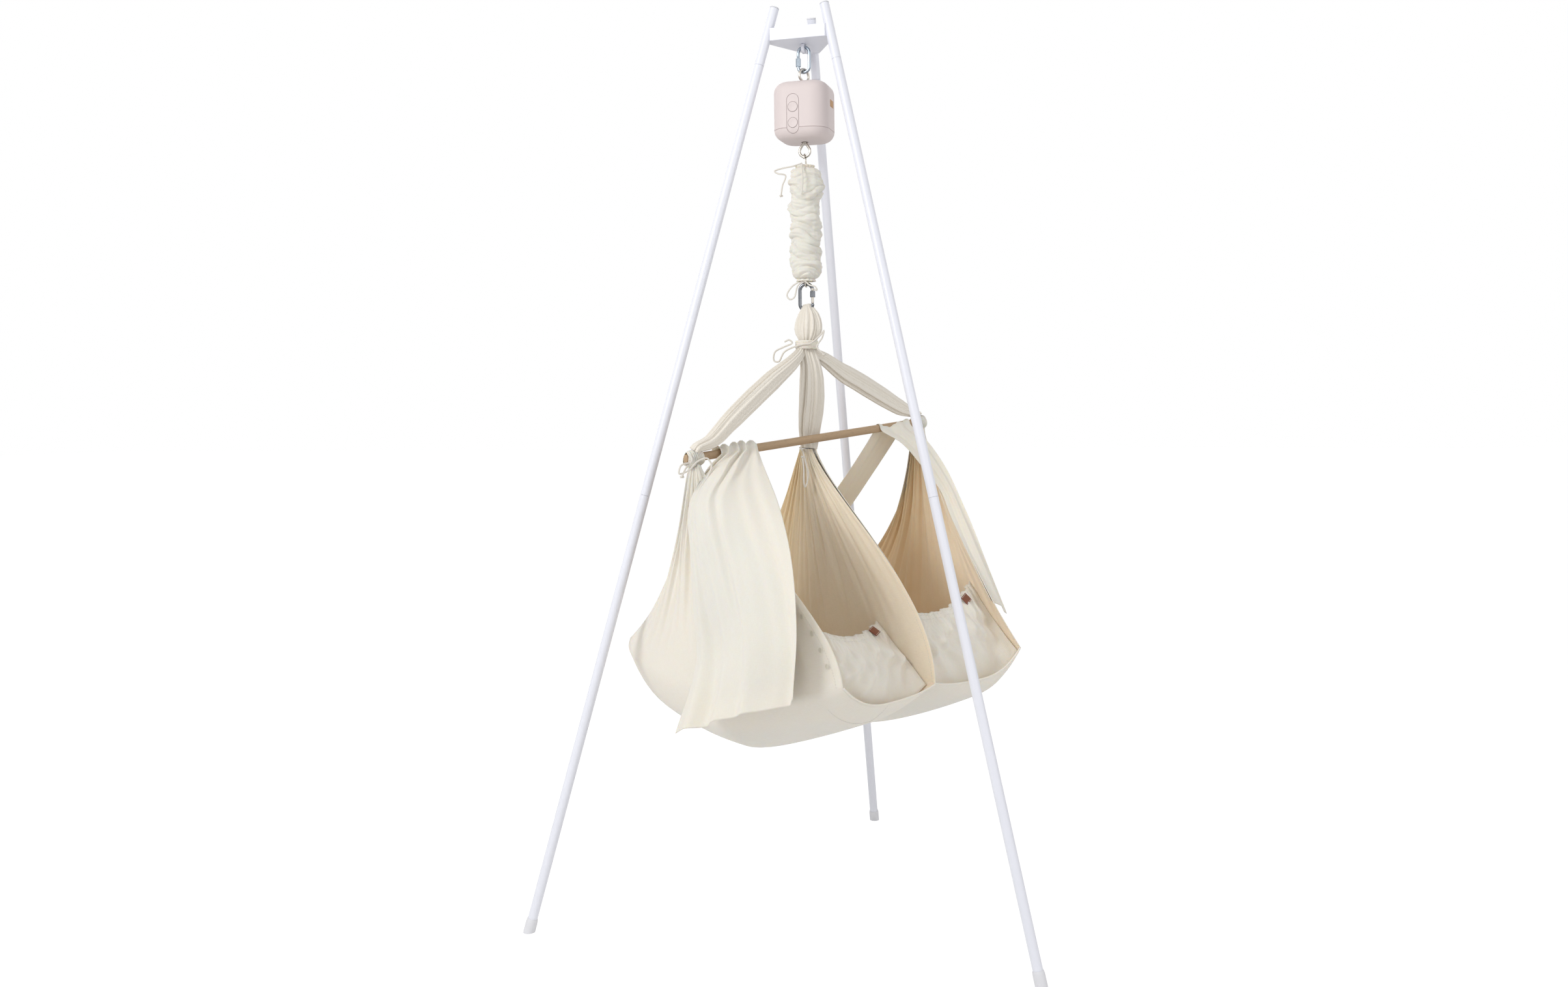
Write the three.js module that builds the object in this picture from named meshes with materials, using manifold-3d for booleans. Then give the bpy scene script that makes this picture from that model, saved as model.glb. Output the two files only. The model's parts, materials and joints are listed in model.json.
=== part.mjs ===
// Twin baby hammock on a three-legged stand, in millimetres, +Z up, floor at z 0.
// Each named mesh is one physical piece of the real object.
import * as THREE from "three";
import { mergeVertices } from "three/addons/utils/BufferGeometryUtils.js";
import Module from "manifold-3d";

const wasm = await Module();
wasm.setup();

// Driving sizes of the stand
const STAND_HEIGHT = 2120;
const FOOT_RADIUS = 672.5;
const TOP_RADIUS = 68.4;
const LEG_ANGLES = { left: 210, right: 330, rear: 90 };
const TUBE_R = 11;
const TUBE_WALL = 1.5;
const LOWER_JOINT = 0.4703;
const UPPER_JOINT = 0.9366;
const SPIGOT_LENGTH = 55;
const SPIGOT_R = 9.2;
const SPIGOT_WALL = 1.2;
const TUBE_SIDES = 16;
const GAP = 0.3;

// The bracket that joins the legs. Its corners end a little inside the middle lines of the legs
const BRACKET_DROP = 80;
const BRACKET_HEIGHT = 28;
const BRACKET_SHEET = 3;
const BRACKET_BITE = 3.2;

// The row of things that hang from the bracket, each below the one before
const LINK_DROP = 3;
const LINK_LENGTH = 65;
const LINK_WIRE = 3.6;
const LINK_HALF_WIDTH = 13.4;
const MOTOR_DROP = 24;
const MOTOR_HEIGHT = 133;
const SPLIT_HEIGHT = 23;
const SPRING_EYE_DROP = 21;
const COVER_DROP = 55;
const COVER_LENGTH = 268;
const CARABINER_DROP = 2;
const CARABINER_LENGTH = 70;
const BAND_DROP = 67;
const BAND_HEIGHT = 20;
const BAR_DROP = 211;

const BRACKET_Z = STAND_HEIGHT - BRACKET_DROP;
const LINK_TOP = BRACKET_Z - LINK_DROP;
const LINK_BOTTOM = LINK_TOP - LINK_LENGTH;
const MOTOR_TOP = LINK_BOTTOM - MOTOR_DROP;
const MOTOR_BOTTOM = MOTOR_TOP - MOTOR_HEIGHT;
const MOTOR_SPLIT = MOTOR_BOTTOM + SPLIT_HEIGHT;
const SPRING_EYE_Z = MOTOR_BOTTOM - SPRING_EYE_DROP;
const COVER_TOP = MOTOR_BOTTOM - COVER_DROP;
const COVER_BOTTOM = COVER_TOP - COVER_LENGTH;
const CARABINER_TOP = COVER_BOTTOM - CARABINER_DROP;
const CARABINER_BOTTOM = CARABINER_TOP - CARABINER_LENGTH;
const BAND_TOP = CARABINER_BOTTOM - BAND_DROP;
const BAND_BOTTOM = BAND_TOP - BAND_HEIGHT;

// The hammock: its own x runs along the spreader bar, its own -y points to the feet of the babies
const YAW = (58 * Math.PI) / 180;
const HAMMOCK_SHIFT = { x: 15.4, y: 4.4 };
const BAR_HALF = 383;
const BAR_Z = BAND_BOTTOM - BAR_DROP;
const BAR_SLOPE = 0.097;
const BAR_R = 10;
const BASE_HALF = 345;
const BASE_FOOT = -390;
const BASE_HEAD = 350;
const BASE_DROP = 702;
const BASE_LOW = BAR_Z - BASE_DROP;
const CLOTH = 2.6;

// The hanging axis stands this far in front of the middle of the floor area
const AXIS_Y = -64;

const root = new THREE.Group();

const material = (color, roughness, metalness = 0) =>
  new THREE.MeshStandardMaterial({ color, roughness, metalness });
const PAINT = material(0xe9eaf4, 0.42);
const WHITE_PLASTIC = material(0xe4e4ea, 0.5);
const ZINC = material(0xaab4bd, 0.3, 1);
const STEEL = material(0xc4bdb2, 0.32, 1);
const DARK_CHROME = material(0x77797f, 0.22, 1);
const SHELL_PINK = material(0xdcd0cd, 0.55);
const TAG_BROWN = material(0xb98d5a, 0.6);
const BLACK_PLASTIC = material(0x2a2b2e, 0.5);
const BOARD_GREEN = material(0x2e6b45, 0.5);
const COTTON = material(0xece6d8, 0.9);
const LINING = material(0xe0cfae, 0.9);
const LEATHER = material(0x80422c, 0.6);
const OAK = material(0xac8c68, 0.6);

const vec = (x, y, z) => new THREE.Vector3(x, y, z);
const mix = (a, b, t) => a + (b - a) * t;
const clamp01 = (t) => Math.min(1, Math.max(0, t));

// A point given in the hammock's own directions, in the frame of the stand.
function hung(x, y, z) {
  const c = Math.cos(YAW);
  const s = Math.sin(YAW);
  return vec(c * x - s * y + HAMMOCK_SHIFT.x, s * x + c * y + HAMMOCK_SHIFT.y, z);
}

// A closed solid from a geometry, with its faces turned outwards.
function solid(geometry) {
  const bare = new THREE.BufferGeometry();
  const flat = geometry.index ? geometry.toNonIndexed() : geometry;
  bare.setAttribute("position", flat.getAttribute("position").clone());
  const merged = mergeVertices(bare, 1e-3);
  const used = [];
  const index = merged.index.array;
  for (let i = 0; i < index.length; i += 3) {
    const [a, b, c] = [index[i], index[i + 1], index[i + 2]];
    if (a !== b && b !== c && c !== a) used.push(a, b, c);
  }
  const build = (triangles) =>
    new wasm.Manifold(
      new wasm.Mesh({
        numProp: 3,
        vertProperties: merged.attributes.position.array,
        triVerts: new Uint32Array(triangles),
      }),
    );
  const made = build(used);
  if (made.volume() >= 0) return made;
  for (let i = 0; i < used.length; i += 3)
    [used[i + 1], used[i + 2]] = [used[i + 2], used[i + 1]];
  return build(used);
}

function geometryOf(body) {
  const mesh = body.getMesh();
  const points = new Float32Array(mesh.numVert * 3);
  for (let i = 0; i < mesh.numVert; i++) {
    const from = i * mesh.numProp;
    points.set(mesh.vertProperties.subarray(from, from + 3), i * 3);
  }
  const geometry = new THREE.BufferGeometry();
  geometry.setAttribute("position", new THREE.BufferAttribute(points, 3));
  geometry.setIndex(new THREE.BufferAttribute(mesh.triVerts, 1));
  return geometry;
}

function add(name, body, look) {
  const geometry = geometryOf(body);
  geometry.computeVertexNormals();
  const mesh = new THREE.Mesh(geometry, look);
  mesh.name = name;
  root.add(mesh);
}

function box(x0, x1, y0, y1, z0, z1) {
  const geometry = new THREE.BoxGeometry(x1 - x0, y1 - y0, z1 - z0);
  geometry.translate((x0 + x1) / 2, (y0 + y1) / 2, (z0 + z1) / 2);
  return solid(geometry);
}

// Turns and moves a geometry made about +Y so that it runs from one point towards another.
function alongLine(geometry, from, to) {
  const aim = to.clone().sub(from).normalize();
  geometry.applyQuaternion(new THREE.Quaternion().setFromUnitVectors(vec(0, 1, 0), aim));
  geometry.translate(from.x, from.y, from.z);
  return geometry;
}

function cylinder(from, to, radius, sides = 20, endRadius = radius) {
  const length = from.distanceTo(to);
  const geometry = new THREE.CylinderGeometry(endRadius, radius, length, sides);
  geometry.translate(0, length / 2, 0);
  return solid(alongLine(geometry, from, to));
}

// A turned body from [radius, distance] pairs that go once round its section.
function turned(profile, from, to, sides = TUBE_SIDES) {
  const points = profile.map(([r, d]) => new THREE.Vector2(r, d));
  points.push(points[0].clone());
  return solid(alongLine(new THREE.LatheGeometry(points, sides), from, to));
}

// A round rod that follows a smooth line through the given points.
function rod(points, radius, steps, sides = 8) {
  const shape = new THREE.Shape();
  for (let i = 0; i < sides; i++) {
    const a = (2 * Math.PI * i) / sides;
    const [x, y] = [radius * Math.cos(a), radius * Math.sin(a)];
    if (i) shape.lineTo(x, y);
    else shape.moveTo(x, y);
  }
  shape.closePath();
  const line = new THREE.CatmullRomCurve3(points, false, "centripetal");
  return solid(
    new THREE.ExtrudeGeometry(shape, { steps, extrudePath: line, bevelEnabled: false }),
  );
}

// A round wire with one ring of corners at each of the given points.
function wire(points, radius, sides = 8) {
  const last = points.length - 1;
  let normal = null;
  const rings = points.map((p, i) => {
    const aim = points[Math.min(i + 1, last)].clone();
    aim.sub(points[Math.max(i - 1, 0)]).normalize();
    const start = Math.abs(aim.y) < 0.9 ? vec(0, 1, 0) : vec(1, 0, 0);
    normal = (normal || start).clone().addScaledVector(aim, -(normal || start).dot(aim));
    normal.normalize();
    const other = aim.clone().cross(normal);
    const ring = [];
    for (let j = 0; j < sides; j++) {
      const a = (2 * Math.PI * j) / sides;
      const q = p.clone().addScaledVector(normal, radius * Math.cos(a));
      ring.push(q.addScaledVector(other, radius * Math.sin(a)));
    }
    return ring;
  });
  return skinned(rings);
}

// Points round part of a circle in an upright plane that is turned about the vertical.
function arc(centreZ, radius, fromDeg, toDeg, count, turnDeg = 0) {
  const out = [];
  const turn = (turnDeg * Math.PI) / 180;
  for (let i = 0; i <= count; i++) {
    const a = (mix(fromDeg, toDeg, i / count) * Math.PI) / 180;
    const side = radius * Math.cos(a);
    out.push(vec(side * Math.cos(turn), side * Math.sin(turn), centreZ + radius * Math.sin(a)));
  }
  return out;
}

// A closed body between two layers of points, each a grid of rows, joined round its rim.
function layered(front, back) {
  const rows = front.length;
  const columns = front[0].length;
  const positions = [];
  const face = (a, b, c) => positions.push(...a.toArray(), ...b.toArray(), ...c.toArray());
  for (let i = 0; i + 1 < rows; i++)
    for (let j = 0; j + 1 < columns; j++) {
      face(front[i][j], front[i + 1][j], front[i + 1][j + 1]);
      face(front[i][j], front[i + 1][j + 1], front[i][j + 1]);
      face(back[i][j], back[i + 1][j + 1], back[i + 1][j]);
      face(back[i][j], back[i][j + 1], back[i + 1][j + 1]);
    }
  const rim = [];
  for (let j = 0; j < columns; j++) rim.push([0, j]);
  for (let i = 1; i < rows; i++) rim.push([i, columns - 1]);
  for (let j = columns - 2; j >= 0; j--) rim.push([rows - 1, j]);
  for (let i = rows - 2; i > 0; i--) rim.push([i, 0]);
  rim.forEach(([i, j], k) => {
    const [m, n] = rim[(k + 1) % rim.length];
    face(front[i][j], front[m][n], back[m][n]);
    face(front[i][j], back[m][n], back[i][j]);
  });
  const geometry = new THREE.BufferGeometry();
  geometry.setAttribute("position", new THREE.Float32BufferAttribute(positions, 3));
  return solid(geometry);
}

function grid(at, rows, columns) {
  const out = [];
  for (let i = 0; i <= rows; i++) {
    const row = [];
    for (let j = 0; j <= columns; j++) row.push(at(i / rows, j / columns));
    out.push(row);
  }
  return out;
}

// The grid again, moved along its own normals.
function offset(points, distance) {
  const rows = points.length - 1;
  const columns = points[0].length - 1;
  return points.map((row, i) =>
    row.map((p, j) => {
      const down = points[Math.min(i + 1, rows)][j].clone();
      down.sub(points[Math.max(i - 1, 0)][j]);
      const across = points[i][Math.min(j + 1, columns)].clone();
      across.sub(points[i][Math.max(j - 1, 0)]);
      const normal = down.cross(across).normalize();
      return p.clone().addScaledVector(normal, distance);
    }),
  );
}

// A cloth of even thickness about a surface.
function cloth(at, rows, columns, thickness = CLOTH) {
  const middle = grid(at, rows, columns);
  return layered(offset(middle, thickness / 2), offset(middle, -thickness / 2));
}

// A body skinned over closed rings of points, capped at both ends.
function skinned(rings) {
  const positions = [];
  const face = (a, b, c) => positions.push(...a.toArray(), ...b.toArray(), ...c.toArray());
  const count = rings[0].length;
  for (let i = 0; i + 1 < rings.length; i++)
    for (let j = 0; j < count; j++) {
      const k = (j + 1) % count;
      face(rings[i][j], rings[i][k], rings[i + 1][k]);
      face(rings[i][j], rings[i + 1][k], rings[i + 1][j]);
    }
  for (const [ring, flip] of [
    [rings[0], true],
    [rings[rings.length - 1], false],
  ]) {
    const middle = vec(0, 0, 0);
    ring.forEach((p) => middle.add(p));
    middle.divideScalar(count);
    ring.forEach((p, j) => {
      const q = ring[(j + 1) % count];
      if (flip) face(middle, q, p);
      else face(middle, p, q);
    });
  }
  const geometry = new THREE.BufferGeometry();
  geometry.setAttribute("position", new THREE.Float32BufferAttribute(positions, 3));
  return solid(geometry);
}

// The stand

function legPoint(angle, share) {
  const a = (angle * Math.PI) / 180;
  const r = mix(FOOT_RADIUS, TOP_RADIUS, share);
  return vec(r * Math.cos(a), r * Math.sin(a), STAND_HEIGHT * share);
}

const LEG_LENGTH = legPoint(90, 0).distanceTo(legPoint(90, 1));

// A tube whose lower end is drawn in to a spigot that sits inside the tube below.
function spigotTube(start, end) {
  const inner = TUBE_R - TUBE_WALL;
  return [
    [SPIGOT_R - SPIGOT_WALL, start - SPIGOT_LENGTH],
    [SPIGOT_R, start - SPIGOT_LENGTH],
    [SPIGOT_R, start],
    [TUBE_R, start],
    [TUBE_R, end],
    [inner, end],
    [inner, start + 6],
    [SPIGOT_R - SPIGOT_WALL, start + 2],
  ];
}

function legs() {
  for (const [side, angle] of Object.entries(LEG_ANGLES)) {
    const foot = legPoint(angle, 0);
    const top = legPoint(angle, 1);
    const low = LOWER_JOINT * LEG_LENGTH;
    const high = UPPER_JOINT * LEG_LENGTH;
    const end = LEG_LENGTH - 3.5;
    const inner = TUBE_R - TUBE_WALL;
    const plain = [
      [inner, 12],
      [TUBE_R, 12],
      [TUBE_R, low - GAP],
      [inner, low - GAP],
    ];
    const cap = [
      [0, end - 12],
      [inner - GAP, end - 12],
      [inner - GAP, end + GAP],
      [TUBE_R, end + GAP],
      [TUBE_R, end + 2],
      [TUBE_R - 1.5, LEG_LENGTH],
      [0, LEG_LENGTH],
    ];
    const shoe = [
      [0, -20],
      [13.2, -20],
      [13.2, 26],
      [12.2, 32],
      [TUBE_R + GAP, 32],
      [TUBE_R + GAP, 12 - GAP],
      [0, 12 - GAP],
    ];
    add("leg_lower_" + side, turned(plain, foot, top), PAINT);
    add("leg_upper_" + side, turned(spigotTube(low, high - GAP), foot, top), PAINT);
    add("leg_stub_" + side, turned(spigotTube(high, end), foot, top), PAINT);
    add("stub_cap_" + side, turned(cap, foot, top), WHITE_PLASTIC);
    const above = box(-1000, 1000, -1000, 1000, 0, 100);
    add("foot_cap_" + side, turned(shoe, foot, top).intersect(above), WHITE_PLASTIC);
  }
}

// A straight prism over a flat outline of [x, y] pairs.
function prism(outline, z0, z1) {
  const shape = new THREE.Shape(outline.map(([x, y]) => new THREE.Vector2(x, y)));
  const geometry = new THREE.ExtrudeGeometry(shape, { depth: z1 - z0, bevelEnabled: false });
  geometry.translate(0, 0, z0);
  return solid(geometry);
}

// The corners of a three-sided plate whose points are cut off square at the legs.
function bracketOutline(inset) {
  const corners = [];
  const middle = (BRACKET_Z + BRACKET_HEIGHT / 2) / STAND_HEIGHT;
  const reach = mix(FOOT_RADIUS, TOP_RADIUS, middle) - BRACKET_BITE;
  for (const angle of [90, 210, 330]) {
    const a = (angle * Math.PI) / 180;
    const out = reach - inset;
    const half = 15 - inset * 0.6;
    corners.push([
      out * Math.cos(a) + half * Math.sin(a),
      out * Math.sin(a) - half * Math.cos(a),
    ]);
    corners.push([
      out * Math.cos(a) - half * Math.sin(a),
      out * Math.sin(a) + half * Math.cos(a),
    ]);
  }
  return corners;
}

function bracket() {
  const top = BRACKET_Z + BRACKET_HEIGHT;
  let tray = prism(bracketOutline(0), BRACKET_Z, top);
  const hollow = prism(bracketOutline(BRACKET_SHEET), BRACKET_Z + BRACKET_SHEET, top + 5);
  tray = tray.subtract(hollow);
  for (const angle of Object.values(LEG_ANGLES)) {
    const from = legPoint(angle, 0.9);
    tray = tray.subtract(cylinder(from, legPoint(angle, 1), TUBE_R + GAP, TUBE_SIDES));
  }
  add("head_bracket", tray, PAINT);
  const holeZ = LINK_TOP - LINK_WIRE;
  const holeR = LINK_WIRE + 1.1;
  const rest = holeZ - LINK_WIRE - 3 * GAP + holeR;
  let tab = cylinder(vec(-3.5, 0, holeZ - 2), vec(3.5, 0, holeZ - 2), 13, 24);
  tab = tab.intersect(box(-9, 9, -20, 20, BRACKET_Z - 40, BRACKET_Z - GAP));
  tab = tab.subtract(cylinder(vec(-9, 0, rest), vec(9, 0, rest), holeR, 16));
  add("hook_tab", tab, PAINT);
}

// The screw link between the bracket and the motor

const NUT_LENGTH = 18.5;

function quickLink() {
  const top = LINK_TOP - LINK_WIRE;
  const bottom = LINK_BOTTOM + LINK_WIRE;
  const w = LINK_HALF_WIDTH;
  const nutBottom = LINK_BOTTOM + 17.5;
  const nutTop = nutBottom + NUT_LENGTH;
  const path = [
    vec(-w, 0, nutBottom + 2.5),
    ...arc(bottom + w, w, 180, 360, 8),
    ...arc(top - w, w, 0, 180, 8),
    vec(-w, 0, nutTop - 7),
  ];
  add("quick_link_body", wire(path, LINK_WIRE), ZINC);
  const along = (z) => vec(-w, 0, z);
  const nut = cylinder(along(nutBottom), along(nutTop), 6.2, 6);
  const bore = cylinder(along(nutBottom - 5), along(nutTop + 5), LINK_WIRE + GAP, 16);
  add("quick_link_nut", nut.subtract(bore), ZINC);
}

// The motor unit

const MOTOR_HALF_X = 66;
const MOTOR_HALF_Y = 60;
const MOTOR_CORNER = 40;
const MOTOR_EDGE = 25;
const MOTOR_WALL = 4.6;
const SHAFT_R = 5;

// The outline of a rounded rectangle, drawn in by an amount.
function motorRing(inset, z) {
  const ring = [];
  const hx = MOTOR_HALF_X - inset;
  const hy = MOTOR_HALF_Y - inset;
  const r = Math.max(MOTOR_CORNER - inset, 8);
  for (const [sx, sy, start] of [
    [1, 1, 0],
    [-1, 1, 90],
    [-1, -1, 180],
    [1, -1, 270],
  ])
    for (let i = 0; i <= 5; i++) {
      const a = ((start + i * 18) * Math.PI) / 180;
      ring.push(vec(sx * (hx - r) + r * Math.cos(a), sy * (hy - r) + r * Math.sin(a), z));
    }
  return ring;
}

// The outer form of the motor unit, with everything drawn in by an amount.
function motorForm(inset) {
  const low = MOTOR_BOTTOM + inset;
  const high = MOTOR_TOP - inset;
  const r = MOTOR_EDGE - inset;
  const rings = [];
  for (let i = 0; i <= 4; i++) {
    const a = ((i / 4) * Math.PI) / 2;
    rings.push(motorRing(inset + r * (1 - Math.sin(a)), low + r * (1 - Math.cos(a))));
  }
  for (let i = 4; i >= 0; i--) {
    const a = ((i / 4) * Math.PI) / 2;
    rings.push(motorRing(inset + r * (1 - Math.sin(a)), high - r * (1 - Math.cos(a))));
  }
  return skinned(rings);
}

const PANEL_X = -11;
const PANEL_HALF = 14;
const PANEL_LENGTH = 88;
const PANEL_LOW = MOTOR_BOTTOM + 11;
const PANEL_HIGH = PANEL_LOW + PANEL_LENGTH;
const PANEL_DEPTH = 2;
const BUTTON_R = 11.3;
const BUTTON_Z = [PANEL_HIGH - 29, PANEL_LOW + 23];
const TAG_HALF_WIDTH = 13.5;
const TAG_HALF_HEIGHT = 8;
const TAG_Z = MOTOR_TOP - 49.5;

// A prism with round ends that stands on the front of the motor unit.
function panelPrism(grow) {
  const r = PANEL_HALF + grow;
  const outline = [];
  for (let i = 0; i <= 10; i++) {
    const a = (Math.PI * i) / 10;
    outline.push([PANEL_X + r * Math.cos(a), PANEL_HIGH - PANEL_HALF + r * Math.sin(a)]);
  }
  for (let i = 0; i <= 10; i++) {
    const a = Math.PI + (Math.PI * i) / 10;
    outline.push([PANEL_X + r * Math.cos(a), PANEL_LOW + PANEL_HALF + r * Math.sin(a)]);
  }
  const shape = new THREE.Shape(outline.map(([x, z]) => new THREE.Vector2(x, z)));
  const geometry = new THREE.ExtrudeGeometry(shape, { depth: 60, bevelEnabled: false });
  geometry.rotateX(Math.PI / 2);
  geometry.translate(0, 40 - MOTOR_HALF_Y, 0);
  return solid(geometry);
}

function motorHousing() {
  const outer = motorForm(0);
  const recess = outer.subtract(motorForm(PANEL_DEPTH + GAP)).intersect(panelPrism(GAP));
  let shell = outer.subtract(motorForm(MOTOR_WALL)).subtract(recess);
  const below = vec(0, 0, MOTOR_BOTTOM - 15);
  const within = vec(0, 0, MOTOR_SPLIT + 50);
  const above = vec(0, 0, MOTOR_TOP + 50);
  shell = shell.subtract(cylinder(below, within, SHAFT_R + 2.5, 16));
  shell = shell.subtract(cylinder(within, above, SHAFT_R + GAP, 12));
  const front = (z, y) => vec(PANEL_X, y - MOTOR_HALF_Y, z);
  for (const z of BUTTON_Z)
    shell = shell.subtract(cylinder(front(z, -10), front(z, 20), BUTTON_R - 2, 24));
  const tagWidth = TAG_HALF_WIDTH + 0.5;
  const tagHeight = TAG_HALF_HEIGHT + 0.5;
  const tagRoom = [MOTOR_HALF_X - 1.6, MOTOR_HALF_X + 14, -tagWidth, tagWidth];
  shell = shell.subtract(box(...tagRoom, TAG_Z - tagHeight, TAG_Z + tagHeight));
  const around = [-2 * MOTOR_HALF_X, 2 * MOTOR_HALF_X, -2 * MOTOR_HALF_Y, 2 * MOTOR_HALF_Y];
  const upper = box(...around, MOTOR_SPLIT + GAP, above.z);
  const lower = box(...around, below.z, MOTOR_SPLIT);
  add("motor_housing_upper", shell.intersect(upper), SHELL_PINK);
  add("motor_housing_lower", shell.intersect(lower), SHELL_PINK);
  let panel = outer.subtract(motorForm(PANEL_DEPTH)).intersect(panelPrism(0));
  for (const z of BUTTON_Z)
    panel = panel.subtract(cylinder(front(z, -10), front(z, 20), BUTTON_R + GAP, 24));
  add("control_panel", panel, SHELL_PINK);
  ["button_upper", "button_lower"].forEach((name, i) => {
    const z = BUTTON_Z[i];
    const face = cylinder(front(z, 0.8), front(z, -1.2), BUTTON_R, 24, BUTTON_R - 1.3);
    const stem = cylinder(front(z, 10), front(z, 0), BUTTON_R - 2.4, 16);
    add(name, face.add(stem), SHELL_PINK);
  });
  const tag = [MOTOR_HALF_X - 1.2, MOTOR_HALF_X + 0.6, -TAG_HALF_WIDTH, TAG_HALF_WIDTH];
  add("side_tag", box(...tag, TAG_Z - TAG_HALF_HEIGHT, TAG_Z + TAG_HALF_HEIGHT), TAG_BROWN);
}

const WHEEL_Z = MOTOR_BOTTOM + 65;
const CRANK_R = 20;
const CRANK_REST = 0.2;
const PIN_R = 3;
const EYE_R = 15;
const EYE_WIRE = 3;
const EYE_TURN = 61;
const LIFT_EYE_R = 12.6;
const LIFT_EYE_WIRE = 3.2;
const FRAME_SHEET = 3;
const FRAME_TOP = MOTOR_TOP - 9;
const FRAME_FLOOR = MOTOR_BOTTOM + 17;
const PACK_FRONT = 46;

function motorInside() {
  const upright = (z) => vec(0, 0, z);
  const hole = cylinder(upright(MOTOR_BOTTOM), upright(MOTOR_TOP), SHAFT_R + 0.6, 16);
  const frameLow = FRAME_FLOOR - FRAME_SHEET;
  let frame = box(-34, 34, -18, 22, FRAME_TOP - FRAME_SHEET, FRAME_TOP);
  frame = frame.add(box(-34, 34, -PACK_FRONT - 0.4, 22, frameLow, FRAME_FLOOR));
  frame = frame.add(box(-34, 34, 18, 22, frameLow, FRAME_TOP));
  frame = frame.subtract(hole);
  frame = frame.subtract(cylinder(vec(0, 15, WHEEL_Z), vec(0, 25, WHEEL_Z), 4.4, 16));
  add("motor_frame", frame, ZINC);
  const gearbox = cylinder(vec(0, 22.3, WHEEL_Z), vec(0, 48, WHEEL_Z), 21, 20);
  const bore = cylinder(vec(0, 20, WHEEL_Z), vec(0, 34, WHEEL_Z), 4.4, 16);
  add("gear_motor", gearbox.subtract(bore), STEEL);
  let wheel = cylinder(vec(0, 9, WHEEL_Z), vec(0, 15, WHEEL_Z), 27, 24);
  wheel = wheel.add(cylinder(vec(0, 14, WHEEL_Z), vec(0, 32, WHEEL_Z), 4, 12));
  const px = CRANK_R * Math.cos(CRANK_REST);
  const pz = WHEEL_Z + CRANK_R * Math.sin(CRANK_REST);
  wheel = wheel.add(cylinder(vec(px, -3, pz), vec(px, 10, pz), PIN_R, 12));
  add("crank_wheel", wheel, BLACK_PLASTIC);
  let yoke = box(-9, 30, -2.5, 2.5, pz - 11, pz + 11);
  yoke = yoke.subtract(box(12, 26, -5, 5, pz - PIN_R - 0.6, pz + PIN_R + 0.6));
  yoke = yoke.add(cylinder(upright(SPRING_EYE_Z + 17), upright(pz - 10), SHAFT_R, 12));
  const eye = eyeLoop(SPRING_EYE_Z, LIFT_EYE_R, LIFT_EYE_WIRE, SPRING_EYE_Z + 19, -1, 0);
  add("lift_rod", yoke.add(eye), STEEL);
  const seat = FRAME_FLOOR + GAP;
  const board = box(-40, -10, -PACK_FRONT, 2 - PACK_FRONT, seat, MOTOR_TOP - 30);
  add("circuit_board", board, BOARD_GREEN);
  const cells = box(6, 44, -PACK_FRONT, 24 - PACK_FRONT, seat, MOTOR_TOP - 36);
  add("battery_pack", cells, BLACK_PLASTIC);
  const shank = cylinder(upright(MOTOR_TOP - 18), upright(MOTOR_TOP + 8), SHAFT_R, 12);
  const nutTop = FRAME_TOP - FRAME_SHEET - GAP;
  const nut = cylinder(upright(nutTop - 9.7), upright(nutTop), 9, 6);
  const eyeTop = LINK_BOTTOM + 2 * LINK_WIRE + GAP + EYE_WIRE;
  const upperEye = eyeLoop(eyeTop - EYE_R, EYE_R, EYE_WIRE, MOTOR_TOP + 5, 1, EYE_TURN);
  add("motor_eye", shank.add(nut).add(upperEye), STEEL);
}

// A drop-shaped loop of wire about a centre, whose two ends meet at a neck below or above it.
function eyeLoop(z, radius, thick, neckZ, side, turnDeg) {
  const loop = arc(0, radius, -25, 205, 12, turnDeg).map((p) => vec(p.x, p.y, z + side * p.z));
  const turn = (turnDeg * Math.PI) / 180;
  const neck = (x) => vec(x * Math.cos(turn), x * Math.sin(turn), neckZ);
  return wire([neck(2.4), ...loop, neck(-2.4)], thick);
}

// The spring in its cloth cover, and the carabiner under it

const SPRING_R = 15;
const SPRING_WIRE = 1.9;
const SPRING_TURNS = 11;
const SPRING_LOW = COVER_BOTTOM + 28;
const SPRING_HIGH = COVER_TOP - 12;
const HOOK_R = 8;
const CARABINER_WIRE = 4.2;
const CARABINER_HALF = 15.5;
const GATE_R = 3.4;
const SLEEVE_R = 6.2;
const SLEEVE_LENGTH = 15;

function spring() {
  const hookTop = SPRING_EYE_Z - LIFT_EYE_R + LIFT_EYE_WIRE + GAP + SPRING_WIRE;
  const hookLow = CARABINER_TOP - 2 * CARABINER_WIRE - GAP - SPRING_WIRE;
  const lower = arc(hookLow + HOOK_R, HOOK_R, 150, 380, 8, 90);
  const upper = arc(hookTop - HOOK_R, HOOK_R, -30, 200, 8, 90);
  const turns = SPRING_TURNS * 8;
  const coil = [];
  for (let i = 0; i <= turns; i++) {
    const a = (2 * Math.PI * i) / 8;
    const z = mix(SPRING_LOW, SPRING_HIGH, i / turns);
    coil.push(vec(SPRING_R * Math.sin(a), SPRING_R * Math.cos(a), z));
  }
  const path = [...lower, vec(0, 12, hookLow + 26), ...coil, vec(0, 12, hookTop - 24), ...upper];
  add("spring", wire(path, SPRING_WIRE, 5), STEEL);
}

// Uneven but repeatable bulges round and along the gathered cover.
function coverBulge(turn, height) {
  const waves = Math.sin(2 * Math.PI * (height * 13 + 0.22 * Math.sin(turn * 2 + height * 9)));
  const slow = Math.sin(turn * 3 + height * 21) + Math.sin(turn * 2 - height * 34);
  const ruffle = Math.exp(-(((height - 0.84) / 0.09) ** 2)) * Math.max(0, Math.cos(turn - 0.1));
  return 3.4 * waves + 1.4 * slow + 9 * ruffle;
}

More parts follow.
